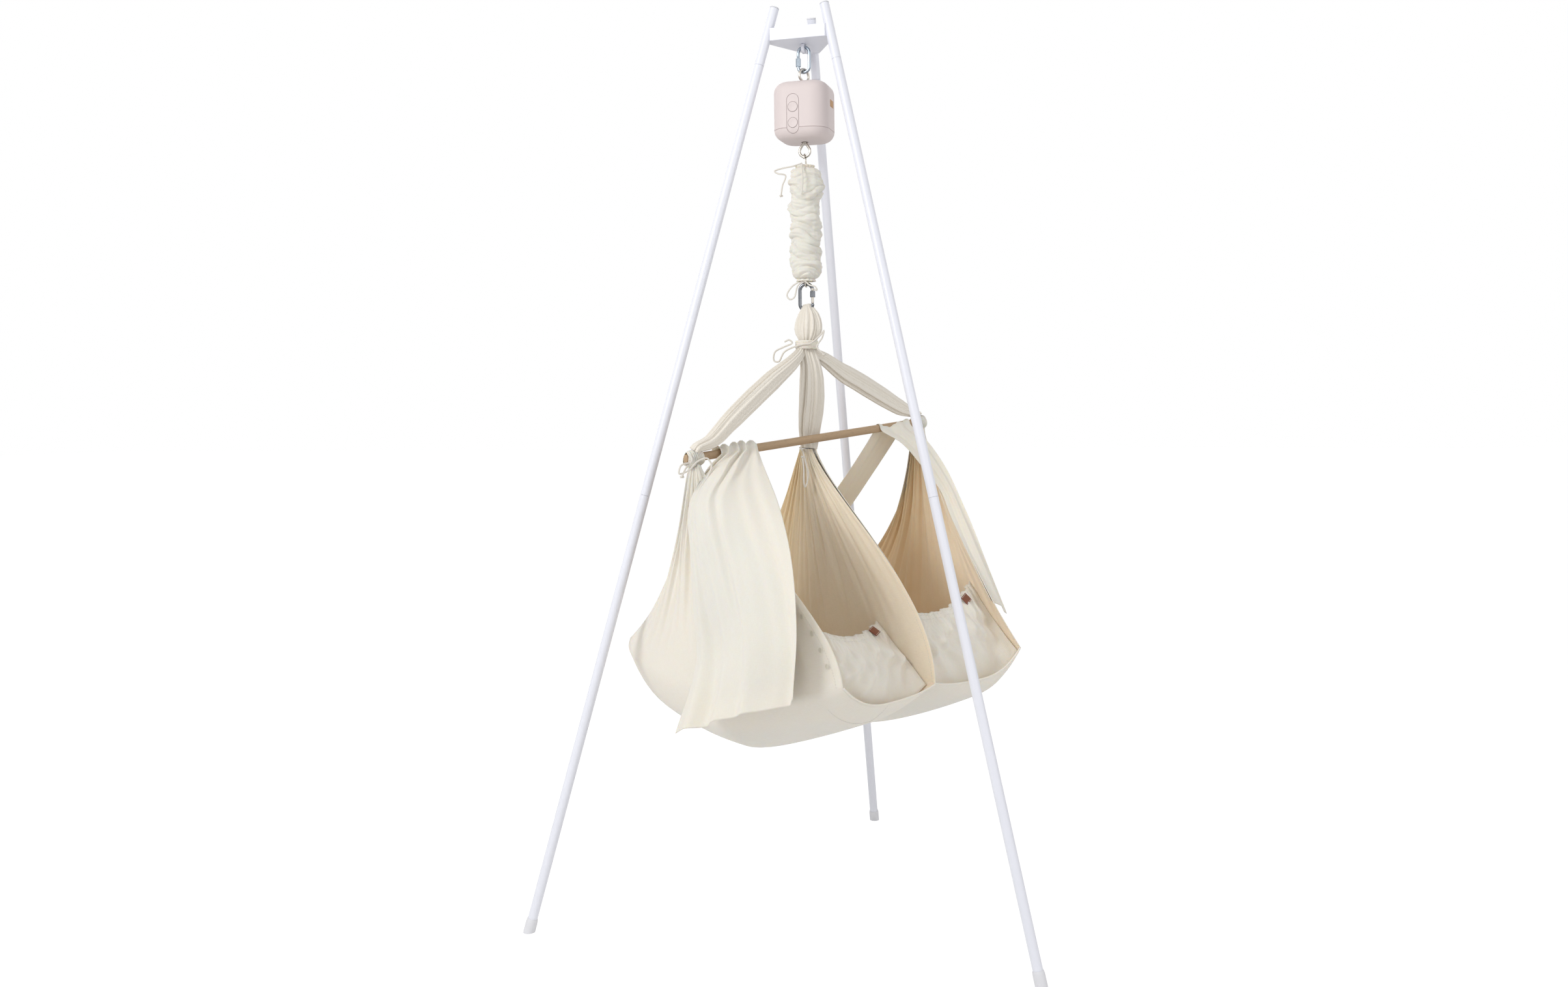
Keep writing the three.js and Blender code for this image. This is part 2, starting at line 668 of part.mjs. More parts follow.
function cover() {
  const sides = 14;
  const outer = [];
  const inner = [];
  const levels = 30;
  for (let i = 0; i <= levels; i++) {
    const h = i / levels;
    const shut = clamp01(Math.min(h, 1 - h) / 0.07);
    const round = Math.sqrt(1 - (1 - shut) ** 2);
    const ring = [];
    for (let j = 0; j < sides; j++) {
      const a = (2 * Math.PI * j) / sides;
      const r = mix(19, 33 + coverBulge(a, h), round);
      ring.push(vec(r * Math.cos(a), r * Math.sin(a), mix(COVER_BOTTOM, COVER_TOP, h)));
    }
    outer.push(ring);
  }
  for (const [h, r] of [
    [-0.01, 17.2],
    [0.02, 17.2],
    [0.08, 23],
    [0.86, 23],
    [0.92, 17.7],
    [1.01, 17.7],
  ]) {
    const ring = [];
    for (let j = 0; j < sides; j++) {
      const a = (2 * Math.PI * j) / sides;
      ring.push(vec(r * Math.cos(a), r * Math.sin(a), mix(COVER_BOTTOM, COVER_TOP, h)));
    }
    inner.push(ring);
  }
  add("spring_cover", skinned(outer).subtract(skinned(inner)), COTTON);
}

function carabinerRod(thick) {
  const top = CARABINER_TOP - CARABINER_WIRE;
  const bottom = CARABINER_BOTTOM + CARABINER_WIRE;
  const w = CARABINER_HALF;
  const path = [...arc(top - w, w, 5, 180, 8), ...arc(bottom + w, w, 180, 355, 8)];
  return wire(path, thick);
}

// The gate ends below in a ball about its pivot, so that it swings clear of the bow.
function carabiner() {
  add("carabiner_body", carabinerRod(CARABINER_WIRE), DARK_CHROME);
  const low = CARABINER_BOTTOM + CARABINER_WIRE + CARABINER_HALF;
  const high = CARABINER_TOP - CARABINER_WIRE - CARABINER_HALF;
  const end = (z) => vec(CARABINER_HALF, 0, z);
  const gate = [];
  for (const degrees of [0, 45, 90]) {
    const a = (degrees * Math.PI) / 180;
    gate.push([GATE_R * Math.sin(a), GATE_R * (1 - Math.cos(a))]);
  }
  gate.push([GATE_R, high - low + 0.8], [0, high - low + 0.8]);
  add("carabiner_gate", turned(gate, end(low - 0.4), end(high), 12), STEEL);
  const sleeve = [
    [GATE_R + GAP, 0],
    [SLEEVE_R, 0],
    [SLEEVE_R, SLEEVE_LENGTH],
    [GATE_R + GAP, SLEEVE_LENGTH],
  ];
  const sleeveLow = high - SLEEVE_LENGTH - 1;
  add("carabiner_sleeve", turned(sleeve, end(sleeveLow), end(high), 12), DARK_CHROME);
}

// The cloth that gathers above the bar

// A ring with pleats, for gathered cloth.
function pleatedRing(centre, halfWide, halfDeep, direction, pleats, depth, phase = 0) {
  const count = pleats * 2;
  const side = direction.clone();
  const aim = vec(-side.y, side.x, 0).normalize();
  const ring = [];
  for (let j = 0; j < count; j++) {
    const a = (2 * Math.PI * j) / count + phase;
    const k = j % 2 ? 1 : 1 - depth;
    const p = centre.clone();
    p.addScaledVector(side, halfWide * k * Math.cos(a));
    p.addScaledVector(aim, halfDeep * k * Math.sin(a));
    ring.push(p);
  }
  return ring;
}

function slingHead() {
  const side = vec(1, 0, 0);
  const rings = [];
  for (const [z, wide, deep] of [
    [BAND_TOP - 9, 19, 19],
    [BAND_TOP + 1, 22, 20],
    [BAND_TOP + 15, 30, 23],
    [BAND_TOP + 31, 33, 23],
    [BAND_TOP + 47, 32, 21],
    [BAND_TOP + 59, 26, 17],
    [CARABINER_BOTTOM + 1, 10.4, 13],
    [CARABINER_BOTTOM + 12, 8.4, 11],
    [CARABINER_BOTTOM + 20, 7, 6],
  ])
    rings.push(pleatedRing(vec(1, 0, z), wide, deep, side, 10, 0.09));
  const room = carabinerRod(CARABINER_WIRE + GAP);
  add("sling_head", skinned(rings).subtract(room), COTTON);
  const band = [
    [23.8, 0],
    [26.4, 0],
    [27.2, BAND_HEIGHT / 2],
    [26.4, BAND_HEIGHT],
    [23.8, BAND_HEIGHT],
  ];
  const made = turned(band, vec(0, 0, BAND_BOTTOM), vec(0, 0, BAND_TOP), 24);
  add("wrap_band", made, COTTON);
}

const barZ = (x) => BAR_Z + BAR_SLOPE * x;

// A pleated strap of cloth that runs from one point to another through sizes along its way.
function strap(points, sizes, side, pleats, depth) {
  const line = new THREE.CatmullRomCurve3(points, false, "centripetal");
  const rings = sizes.map(([wide, deep], i) => {
    const t = i / (sizes.length - 1);
    const at = line.getPoint(t);
    const aim = line.getTangent(t);
    const across = side.clone().addScaledVector(aim, -side.dot(aim)).normalize();
    const out = aim.clone().cross(across).normalize();
    const ring = [];
    const count = pleats * 2;
    for (let j = 0; j < count; j++) {
      const a = (2 * Math.PI * j) / count;
      const k = j % 2 ? 1 : 1 - depth;
      const p = at.clone();
      p.addScaledVector(across, wide * k * Math.cos(a));
      p.addScaledVector(out, deep * k * Math.sin(a));
      ring.push(p);
    }
    return ring;
  });
  return skinned(rings);
}

function arms() {
  const along = vec(Math.cos(YAW), Math.sin(YAW), 0);
  const across = vec(-Math.sin(YAW), Math.cos(YAW), 0);
  const beside = (distance, z) => along.clone().multiplyScalar(distance).setZ(z);
  const inside = BAND_BOTTOM + 10;
  const x = BAR_HALF - 24;
  const sizes = [
    [7, 6.4],
    [8, 6.6],
    [15, 9],
    [21, 10],
    [22, 10],
    [20, 9],
    [16, 8],
  ];
  const left = [
    beside(-15, inside),
    beside(-16, BAND_BOTTOM - 2),
    beside(-42, BAND_BOTTOM - 29),
    hung(-110, -4, BAND_BOTTOM - 77),
    hung(-230, -8, BAR_Z + 50),
    hung(-x + 8, -6, barZ(-x) + 30),
    hung(-x, 0, barZ(-x) + 14.9),
  ];
  add("arm_left", strap(left, sizes, across, 9, 0.14), COTTON);
  const right = [
    beside(15, inside),
    beside(16, BAND_BOTTOM - 2),
    beside(44, BAND_BOTTOM - 23),
    hung(110, 4, BAND_BOTTOM - 53),
    hung(230, 6, BAR_Z + 106),
    hung(x - 8, 4, barZ(x) + 30),
    hung(x, 0, barZ(x) + 14.9),
  ];
  add("arm_right", strap(right, sizes, across, 9, 0.14), COTTON);
  const middle = [
    vec(0, 0, inside),
    vec(0, 0, BAND_BOTTOM - 4),
    hung(-6, 4, BAND_BOTTOM - 43),
    hung(0, 10, BAND_BOTTOM - 103),
    hung(0, 22, BAR_Z + 50),
    hung(0, 29, BAR_Z + 16),
    hung(0, 27, BAR_Z - 24),
  ];
  const sizesMiddle = [
    [6.6, 15],
    [7, 17],
    [22, 24],
    [31, 25],
    [33, 20],
    [29, 15],
    [23, 14],
  ];
  add("arm_middle", strap(middle, sizesMiddle, along, 10, 0.12), COTTON);
}

function spreaderBar() {
  const ends = [-BAR_HALF, BAR_HALF];
  const rings = ends.map((x) => {
    const ring = [];
    for (let j = 0; j < 8; j++) {
      const a = (2 * Math.PI * (j + 0.5)) / 8;
      ring.push(hung(x, BAR_R * 0.8 * Math.cos(a), barZ(x) + BAR_R * Math.sin(a)));
    }
    return ring;
  });
  add("spreader_bar", skinned(rings), OAK);
}

// The two cradles

const CRADLE_ROWS = 24;
const WALL_COLUMNS = 5;
const BASE_COLUMNS = 7;
const COLUMNS = BASE_COLUMNS + 2 * WALL_COLUMNS;
const WALL_SHARE = WALL_COLUMNS / COLUMNS;

// How far along the cradle a share from head (-1) to foot (1) lies at the base.
function baseY(u) {
  const middle = (BASE_FOOT + BASE_HEAD) / 2;
  const half = (BASE_HEAD - BASE_FOOT) / 2;
  return middle - half * (u - 0.05 * clamp01((Math.abs(u) - 0.8) / 0.2) ** 2 * Math.sign(u));
}

function outerEdgeX(u) {
  return BASE_HALF - 38 * clamp01((Math.abs(u) - 0.7) / 0.3) ** 2;
}

const outerEdgeZ = (u) => BASE_LOW + 148 + (u < 0 ? 76 : 62) * Math.abs(u) ** 2.5;
const innerEdgeZ = (u) => BASE_LOW + 136 + 34 * u * u;

// The height of the lowest line under the cradle.
function keelZ(u) {
  const lift = 20 * clamp01((Math.abs(u) - 0.8) / 0.2) ** 2;
  return BASE_LOW + lift + (u < 0 ? 74 * u * u : 135 * u ** 1.3);
}

// A point of the underside between the outer (-1) and inner (1) edge of a cradle on one side.
function basePoint(side, u, s) {
  const x = mix(outerEdgeX(u), 9, (s + 1) / 2);
  const edge = s < 0 ? outerEdgeZ(u) : innerEdgeZ(u);
  const z = keelZ(u) + (edge - keelZ(u)) * Math.abs(s) ** 2.6;
  return [side * x, baseY(u), z];
}

// A point of the wall from the bar (t 0) to the base (t 1).
function wallPoint(side, outer, u, t) {
  const topX = outer ? BAR_HALF - 24 : 12;
  const topZ = outer ? barZ(side * topX) - 14 : BAR_Z - 24.8;
  const topY = (outer ? 0 : 24) - (outer ? 22 : 20) * u;
  const [bottomX, bottomZ] = outer ? [outerEdgeX(u), outerEdgeZ(u)] : [9, innerEdgeZ(u)];
  const convex = outer && side > 0 ? t ** 1.5 : Math.sin((Math.PI * t) / 2) ** 1.25;
  const concave = t ** (outer ? 2.2 : 1.1);
  const share = u > 0 ? mix(t, convex, u) : mix(t, concave, -u);
  const y = mix(topY, baseY(u), share);
  const fold = Math.cos(Math.PI * 6 * (u + 1)) * 7 * Math.sin(Math.PI * Math.min(1, t * 1.25) ** 0.8);
  const bow = outer ? 10 * Math.sin(Math.PI * t) : 0;
  const x = mix(topX, bottomX, t) + bow + (outer ? fold : Math.abs(fold) * 0.9);
  return [side * x, y, mix(topZ, bottomZ, t)];
}

function cradleSurface(side) {
  return (i, j) => {
    const u = i * 2 - 1;
    if (j < WALL_SHARE) return hung(...wallPoint(side, true, u, j / WALL_SHARE));
    if (j > 1 - WALL_SHARE) return hung(...wallPoint(side, false, u, (1 - j) / WALL_SHARE));
    const s = ((j - WALL_SHARE) / (1 - 2 * WALL_SHARE)) * 2 - 1;
    return hung(...basePoint(side, u, s));
  };
}

// A pad that lies on the inside of the base and swells in its middle.
function mattress(side) {
  const surface = grid(cradleSurface(side), CRADLE_ROWS, COLUMNS);
  const middle = surface[CRADLE_ROWS / 2][WALL_COLUMNS + 3].z;
  const raised = offset(surface, 1)[CRADLE_ROWS / 2][WALL_COLUMNS + 3].z;
  const inwards = raised > middle ? 1 : -1;
  const lining = offset(surface, inwards * (CLOTH / 2 + GAP));
  const rows = lining.slice(3, CRADLE_ROWS - 2);
  const under = rows.map((row) => row.slice(WALL_COLUMNS + 1, WALL_COLUMNS + BASE_COLUMNS));
  const top = under.map((row, i) =>
    row.map((p, j) => {
      const round = Math.min(1, 5 * (1 - Math.abs((2 * i) / (under.length - 1) - 1)));
      const swell = Math.min(1, 2.4 * (1 - Math.abs((2 * j) / (row.length - 1) - 1)));
      return p.clone().setZ(p.z + 9 + 27 * Math.sqrt(round * swell));
    }),
  );
  return layered(top, under);
}

const POCKET_U = 11 / 12;

// The point of a wall's foot edge at a height, a little inside the wall.
function wallAtHeight(side, outer, z) {
  const [, , high] = wallPoint(side, outer, POCKET_U, 0);
  const [, , low] = wallPoint(side, outer, POCKET_U, 1);
  const [x, y] = wallPoint(side, outer, POCKET_U, (high - z) / (high - low));
  const inside = outer ? (side < 0 ? -5 : -2.7) : 3.2;
  return vec(x + side * inside, y + 2, z);
}

// The cloth across the feet, from the base up to its gathered edge between the two walls.
function pocketSurface(side) {
  const tops = [BASE_LOW + (side < 0 ? 345 : 358), BASE_LOW + 318];
  const raise = side < 0 ? 2.6 : 1;
  return (i, j) => {
    const ends = [true, false].map((outer, k) => {
      const low = outer ? outerEdgeZ(POCKET_U) : innerEdgeZ(POCKET_U);
      return wallAtHeight(side, outer, mix(low + raise, tops[k], i));
    });
    const p = ends[0].lerp(ends[1], j);
    const base = (share) => basePoint(side, POCKET_U, mix(-0.98, 0.98, share))[2];
    const dip = base(j) - mix(base(0), base(1), j);
    const middle = 4 * j * (1 - j);
    p.z += dip * (1 - i) ** 2 - 24 * i * middle;
    p.y -= 20 * Math.sin((Math.PI * i) / 1.3) * middle;
    p.y -= 2.2 * Math.sin(Math.PI * 8 * j) * i;
    return hung(p.x, p.y, p.z);
  };
}

// A leather tag that lies on the outside of the pocket just under its gathered edge.
function leatherTag(side) {
  const surface = pocketSurface(side);
  const start = side < 0 ? 0.52 : 0.46;
  const patch = grid((i, j) => surface(mix(0.87, 0.98, i), start + 0.07 * j), 3, 3);
  const toward = hung(0, -1000, BASE_LOW + 280);
  const outwards = offset(patch, 1)[1][1].distanceTo(toward) < patch[1][1].distanceTo(toward) ? 1 : -1;
  const face = offset(patch, outwards * 3.6);
  const back = offset(patch, outwards * (1 + GAP));
  return outwards > 0 ? layered(face, back) : layered(back, face);
}

function cradles() {
  for (const [name, side] of [
    ["left", -1],
    ["right", 1],
  ]) {
    add("cradle_" + name, cloth(cradleSurface(side), CRADLE_ROWS, COLUMNS), COTTON);
    add("mattress_" + name, mattress(side), LINING);
    add("pocket_" + name, cloth(pocketSurface(side), 6, 16, 2), COTTON);
    add("tag_" + name, leatherTag(side), LEATHER);
  }
}

// The two loose cloths laid over the bar

// A surface that passes over the bar through chosen points of its two side edges.
function laidCloth(first, second, folds, depth, grip) {
  const one = new THREE.CatmullRomCurve3(first, false, "centripetal");
  const two = new THREE.CatmullRomCurve3(second, false, "centripetal");
  return (i, j) => {
    const a = one.getPoint(i);
    const p = a.clone().lerp(two.getPoint(i), j);
    const away = two.getPoint(i).sub(a).cross(one.getTangent(i)).normalize();
    const loose = clamp01(Math.max(grip[0] - i, i - grip[1]) / 0.25);
    return p.addScaledVector(away, depth * loose * Math.cos(Math.PI * folds * j));
  };
}

function looseCloths() {
  const over = (x) => [
    hung(x, 12, barZ(x) - 34),
    hung(x, 11, barZ(x) - 2),
    hung(x, 6.8, barZ(x) + 9.2),
    hung(x, 0, barZ(x) + 12.2),
    hung(x, -6.8, barZ(x) + 9.2),
    hung(x, -11, barZ(x) - 2),
  ];
  const leftOuter = [
    ...over(-322),
    hung(-345, -70, BAR_Z - 82),
    hung(-392, -150, BAR_Z - 162),
    hung(-414, -140, BAR_Z - 302),
    hung(-416, -60, BAR_Z - 482),
    hung(-410, 18, BAR_Z - 644),
  ];
  const leftInner = [
    ...over(-185),
    hung(-232, -90, BAR_Z - 60),
    hung(-300, -215, BAR_Z - 142),
    hung(-362, -330, BAR_Z - 262),
    hung(-396, -386, BAR_Z - 382),
    hung(-396, -374, BAR_Z - 508),
  ];
  add("cover_cloth_left", cloth(laidCloth(leftOuter, leftInner, 7, 7, [0, 0.5]), 18, 10, 2), COTTON);
  const rightOuter = [
    hung(250, 210, BAR_Z - 262),
    hung(268, 110, BAR_Z - 137),
    ...over(318).slice(1),
    hung(350, -64, BAR_Z - 32),
    hung(378, -100, BAR_Z - 96),
    hung(388, -166, BAR_Z - 210),
    hung(392, -216, BAR_Z - 290),
    hung(390, -252, BAR_Z - 362),
    hung(384, -280, BAR_Z - 422),
  ];
  const rightInner = [
    hung(150, 190, BAR_Z - 232),
    hung(180, 100, BAR_Z - 117),
    ...over(212).slice(1),
    hung(244, -52, BAR_Z - 26),
    hung(270, -104, BAR_Z - 102),
    hung(292, -180, BAR_Z - 222),
    hung(308, -236, BAR_Z - 310),
    hung(320, -276, BAR_Z - 360),
    hung(330, -300, BAR_Z - 380),
  ];
  add("cover_cloth_right", cloth(laidCloth(rightOuter, rightInner, 4, 5, [0.2, 0.6]), 20, 7, 2), COTTON);
}

// Ties and drawstrings

function cords() {
  const coverTop = [
    vec(-52, -24, COVER_TOP - 70),
    vec(-48, -26, COVER_TOP - 48),
    vec(-40, -26, COVER_TOP - 24),
    vec(-58, -30, COVER_TOP - 19),
    vec(-66, -28, COVER_TOP - 13),
    vec(-50, -24, COVER_TOP - 7),
    vec(-24, -22, COVER_TOP - 3),
    vec(-8, -15, COVER_TOP + 2.3),
    vec(1, -31, COVER_TOP),
    vec(5, -42, COVER_TOP - 14),
    vec(7, -46, COVER_TOP - 40),
    vec(5, -47, COVER_TOP - 72),
  ];
  add("cover_cord_top", rod(coverTop, 1.8, 16), COTTON);
  const coverBottom = [
    vec(-12, -26, CARABINER_TOP - 2),
    vec(-26, -30, CARABINER_TOP - 12),
    vec(-38, -32, CARABINER_TOP - 32),
    vec(-30, -34, CARABINER_TOP - 42),
    vec(-20, -34, CARABINER_TOP - 38),
    vec(-13, -27, CARABINER_TOP - 11),
    vec(-3, -17.9, CARABINER_TOP - 0.1),
    vec(3, -17.9, CARABINER_TOP - 0.1),
    vec(15, -27, CARABINER_TOP - 9),
    vec(30, -30, CARABINER_TOP - 14),
    vec(34, -28, CARABINER_TOP - 22),
    vec(24, -28, CARABINER_TOP - 20),
  ];
  add("cover_cord_bottom", rod(coverBottom, 1.8, 16), COTTON);
  const wrap = [
    vec(-44, -34, BAND_BOTTOM + 17),
    vec(-34, -32, BAND_BOTTOM + 21),
    vec(-27, -30, BAND_BOTTOM + 14),
    vec(-46, -34, BAND_BOTTOM + 5),
    vec(-68, -36, BAND_BOTTOM - 7),
    vec(-70, -36, BAND_BOTTOM - 27),
    vec(-58, -38, BAND_BOTTOM - 29),
    vec(-44, -38, BAND_BOTTOM - 7),
    vec(-16, -27, BAND_BOTTOM + 7),
    vec(0, -29.7, BAND_BOTTOM + 10),
    vec(16, -27, BAND_BOTTOM + 12),
    vec(44, -30, BAND_BOTTOM + 33),
    vec(50, -30, BAND_BOTTOM + 41),
    vec(46, -30, BAND_BOTTOM + 25),
    vec(34, -33, BAND_BOTTOM + 3),
    vec(50, -30, BAND_BOTTOM - 15),
  ];
  add("wrap_cord", rod(wrap, 2, 26), COTTON);
  const x = BAR_HALF - 8;
  const tieLeft = [
    hung(-x - 24, -34, BAR_Z - 66),
    hung(-x - 16, -32, BAR_Z - 42),
    hung(-x - 4, -10.7, BAR_Z - 31),
    hung(-x - 5, -10.7, BAR_Z - 42),
    hung(-x - 14, -32, BAR_Z - 50),
    hung(-x - 10, -38, BAR_Z - 70),
    hung(-x + 4, -38, BAR_Z - 60),
    hung(-x + 10, -32, BAR_Z - 38),
    hung(-x + 18, -38, BAR_Z - 54),
    hung(-x + 24, -44, BAR_Z - 74),
  ];
  add("tie_left", rod(tieLeft, 2, 16), COTTON);
  const tieMiddle = [
    hung(-24, 26, BAR_Z - 21),
    hung(-36, 2, BAR_Z - 30),
    hung(-44, -18, BAR_Z - 60),
    hung(-40, -20, BAR_Z - 82),
    hung(-46, -22, BAR_Z - 104),
    hung(-52, -22, BAR_Z - 112),
    hung(-54, -20, BAR_Z - 98),
    hung(-50, -16, BAR_Z - 70),
    hung(-46, -8, BAR_Z - 42),
  ];
  add("tie_middle", rod(tieMiddle, 2, 16), COTTON);
}

legs();
bracket();
quickLink();
motorHousing();
motorInside();
spring();
cover();
carabiner();
slingHead();
arms();
spreaderBar();
cradles();
looseCloths();
cords();

root.position.set(0, AXIS_Y, 0);

export default root;
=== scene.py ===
import json
import math
from contextlib import contextmanager

import bmesh
import bpy
import numpy as np
from bpy.props import FloatProperty, FloatVectorProperty, IntProperty, PointerProperty
from mathutils import Matrix, Vector

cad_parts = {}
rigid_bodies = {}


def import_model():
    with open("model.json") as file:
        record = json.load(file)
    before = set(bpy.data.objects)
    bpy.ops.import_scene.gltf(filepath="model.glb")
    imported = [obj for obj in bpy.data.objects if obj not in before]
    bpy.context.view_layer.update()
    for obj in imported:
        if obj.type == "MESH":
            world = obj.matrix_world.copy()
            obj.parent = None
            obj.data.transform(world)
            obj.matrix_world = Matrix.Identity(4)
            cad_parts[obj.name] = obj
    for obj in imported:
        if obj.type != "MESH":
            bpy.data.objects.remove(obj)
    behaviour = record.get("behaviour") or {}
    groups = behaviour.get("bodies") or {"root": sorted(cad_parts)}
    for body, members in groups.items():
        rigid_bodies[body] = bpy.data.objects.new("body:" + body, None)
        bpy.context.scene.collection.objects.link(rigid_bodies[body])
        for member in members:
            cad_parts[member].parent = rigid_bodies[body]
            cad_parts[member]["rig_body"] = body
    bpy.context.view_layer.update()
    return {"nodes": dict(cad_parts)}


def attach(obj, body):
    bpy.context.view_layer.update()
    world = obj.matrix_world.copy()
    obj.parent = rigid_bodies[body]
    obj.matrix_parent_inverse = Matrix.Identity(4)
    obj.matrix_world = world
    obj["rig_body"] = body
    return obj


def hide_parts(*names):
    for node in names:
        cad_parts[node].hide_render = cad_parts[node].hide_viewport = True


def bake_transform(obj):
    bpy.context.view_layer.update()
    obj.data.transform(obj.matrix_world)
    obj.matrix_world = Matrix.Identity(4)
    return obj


bl_info = {
    "name": "Twin baby hammock",
    "version": (1, 0, 0),
    "blender": (4, 5, 0),
    "location": "3D View > Sidebar > Hammock",
    "description": "Dresses the frame of a twin baby hammock on its three-legged stand",
    "category": "Object",
}

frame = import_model()

# The frame's own sizes, in metres

AXIS_Y = -0.064
STAND_HEIGHT = 2.12
FOOT_RADIUS = 0.6725
TOP_RADIUS = 0.0684
LEG_ANGLES = {"left": 210, "right": 330, "rear": 90}
TUBE_R = 0.011
TUBE_WALL = 0.0015
LOWER_JOINT = 0.4703
UPPER_JOINT = 0.9366
SEAT = 0.0003
LINK_TOP = 2.037
LINK_BOTTOM = 1.972
LINK_WIRE = 0.0036
LINK_HALF_WIDTH = 0.0134
LINK_NUT = (1.9895, 2.008)
MOTOR_TOP = 1.948
MOTOR_BOTTOM = 1.815
MOTOR_SPLIT = 1.838
MOTOR_HALF = (0.066, 0.060)
MOTOR_CORNER = 0.040
MOTOR_EDGE = 0.025
MOTOR_WALL = 0.0046
PANEL_X = -0.011
PANEL_HALF = 0.014
PANEL_SPAN = (1.826, 1.914)
BUTTON_R = 0.0113
BUTTON_Z = {"button_upper": 1.885, "button_lower": 1.849}
SPRING_EYE_Z = 1.794
COVER_SPAN = (1.492, 1.760)
CARABINER_SPAN = (1.420, 1.490)
CARABINER_WIRE = 0.0042
CARABINER_HALF = 0.0155
BAND_SPAN = (1.333, 1.353)
YAW = math.radians(58)
HAMMOCK_SHIFT = (0.0154, 0.0044)
BAR_HALF = 0.383
BAR_Z = 1.122
BAR_SLOPE = 0.097
BASE_HALF = 0.345
BASE_FOOT = -0.390
BASE_HEAD = 0.350
BASE_LOW = 0.420
POCKET_U = 11 / 12
ARM_X = BAR_HALF - 0.024
ARM_START = BAND_SPAN[0] + 0.010
ARM_EDGE = BAND_SPAN[0] - 0.004
ALONG_BAR = np.array((math.cos(YAW), math.sin(YAW), 0.0))
ACROSS_BAR = np.array((-math.sin(YAW), math.cos(YAW), 0.0))
EYE_RADIUS = 0.0126
EYE_WIRE = 0.0032
CRANK_Z = 1.880
CRANK_THROW = 0.020
CRANK_REST = 0.2
FOOT_FLOOR = 0.012
STUB_CAP_RISE = 0.0035
SIDES = {"left": -1, "right": 1}

# How the meshes and looks are finished

COTTON_SHADOW = (0.7, 0.62, 0.48)
LINING_SHADOW = (0.6, 0.5, 0.36)
THREAD_R = 0.00045
SEAM_LIFT = 0.0013
SHELL_CREASE = 28
TURNED_CREASE = 32
MIDDLE_OF_CRADLE = 0.177
FOLD_WAVES = ((0.8, 0.35), (1.3, 0.5), (2.1, 0.55), (3.2, 0.5), (4.6, 0.34), (6.3, 0.24), (9.1, 0.12))
PLEAT_WAVES = ((0.45, 0.5), (0.7, 0.6), (1.0, 0.75), (1.45, 0.6), (2.1, 0.45), (3.2, 0.3))
FULL_TURN = 2 * math.pi
MM = 1000
CORD_STEP = 0.0016


def colour_field(name, description, default):
    return FloatVectorProperty(name=name, description=description, subtype="COLOR", default=default)


def length_field(name, description, default):
    return FloatProperty(name=name, description=description, default=default, unit="LENGTH")


def power_field(name, description, default):
    return FloatProperty(name=name, description=description, default=default, unit="POWER")


def count_field(name, description, default, low, high):
    return IntProperty(name=name, description=description, default=default, min=low, max=high)


class StandSettings(bpy.types.PropertyGroup):
    """The stand's tubes and their finish."""

    enamel: colour_field("Enamel", "Colour of the tubes and the head bracket", (0.80, 0.81, 0.875))
    plastic: colour_field("Caps", "Colour of the plastic end caps", (0.76, 0.76, 0.79))
    tube_sides: count_field("Tube sides", "Faces round each tube", 48, 12, 128)


class MotorSettings(bpy.types.PropertyGroup):
    """The bouncing motor unit and the metal it hangs on."""

    shell: colour_field("Shell", "Colour of the moulded housing", (0.71, 0.625, 0.61))
    tag: colour_field("Tag", "Colour of the bare side tag", (0.46, 0.25, 0.10))
    metal_sides: count_field("Wire sides", "Faces round each wire loop", 20, 8, 64)


class ClothSettings(bpy.types.PropertyGroup):
    """The cotton of the cradles, straps and loose cloths."""

    cotton: colour_field("Cotton", "Colour of the undyed cotton", (0.835, 0.79, 0.715))
    # painted shade: the cradles' inside is the same cotton, given this darker tan for the shade in them
    lining: colour_field("Lining", "Colour of the cradles' inside", (0.73, 0.575, 0.365))
    # painted light: the inner sides turn paler where light reaches them near the foot
    pale_inside_shade: colour_field("Pale lining", "Colour of the inner sides near the foot", (0.88, 0.76, 0.61))
    leather: colour_field("Leather", "Colour of the two small tags", (0.19, 0.055, 0.026))
    thickness: length_field("Thickness", "Thickness of one layer of cloth", 0.0016)
    thread_pitch: length_field("Thread pitch", "Distance between threads of the weave", 0.0011)
    stitch_pitch: length_field("Stitch pitch", "Distance between stitches of a seam", 0.006)


class WoodSettings(bpy.types.PropertyGroup):
    """The spreader bar."""

    oak: colour_field("Oak", "Main colour of the oiled oak", (0.50, 0.35, 0.215))


class StageSettings(bpy.types.PropertyGroup):
    """The camera, lamps and floor."""

    floor: colour_field("Floor", "Colour of the floor", (0.86, 0.86, 0.86))
    key_power: power_field("Key lamp", "Power of the large front lamp", 89.0)
    fill_power: power_field("Fill lamp", "Power of the side lamp", 26.0)
    ambient: FloatProperty(name="Ambient", description="Strength of the light from all round", default=0.60)


def settings(group):
    return getattr(bpy.context.scene, "hammock_" + group)


def set_colour(group, name):
    return tuple(getattr(settings(group), name))


# Shader trees


class Wire:
    """A socket of a shader tree that can stand in a sum."""

    def __init__(self, tree, socket):
        self.tree = tree
        self.socket = socket

    def _join(self, operation, first, second):
        node = self.tree.nodes.new("ShaderNodeMath")
        node.operation = operation
        feed(self.tree, node.inputs[0], first)
        feed(self.tree, node.inputs[1], second)
        return Wire(self.tree, node.outputs[0])

    def __add__(self, other):
        return self._join("ADD", self, other)

    def __radd__(self, other):
        return self._join("ADD", other, self)

    def __sub__(self, other):
        return self._join("SUBTRACT", self, other)

    def __rsub__(self, other):
        return self._join("SUBTRACT", other, self)

    def __mul__(self, other):
        return self._join("MULTIPLY", self, other)

    def __rmul__(self, other):
        return self._join("MULTIPLY", other, self)

    def __pow__(self, other):
        return self._join("POWER", self, other)


def feed(tree, socket, value):
    if isinstance(value, Wire):
        tree.links.new(value.socket, socket)
    elif value is not None:
        socket.default_value = value


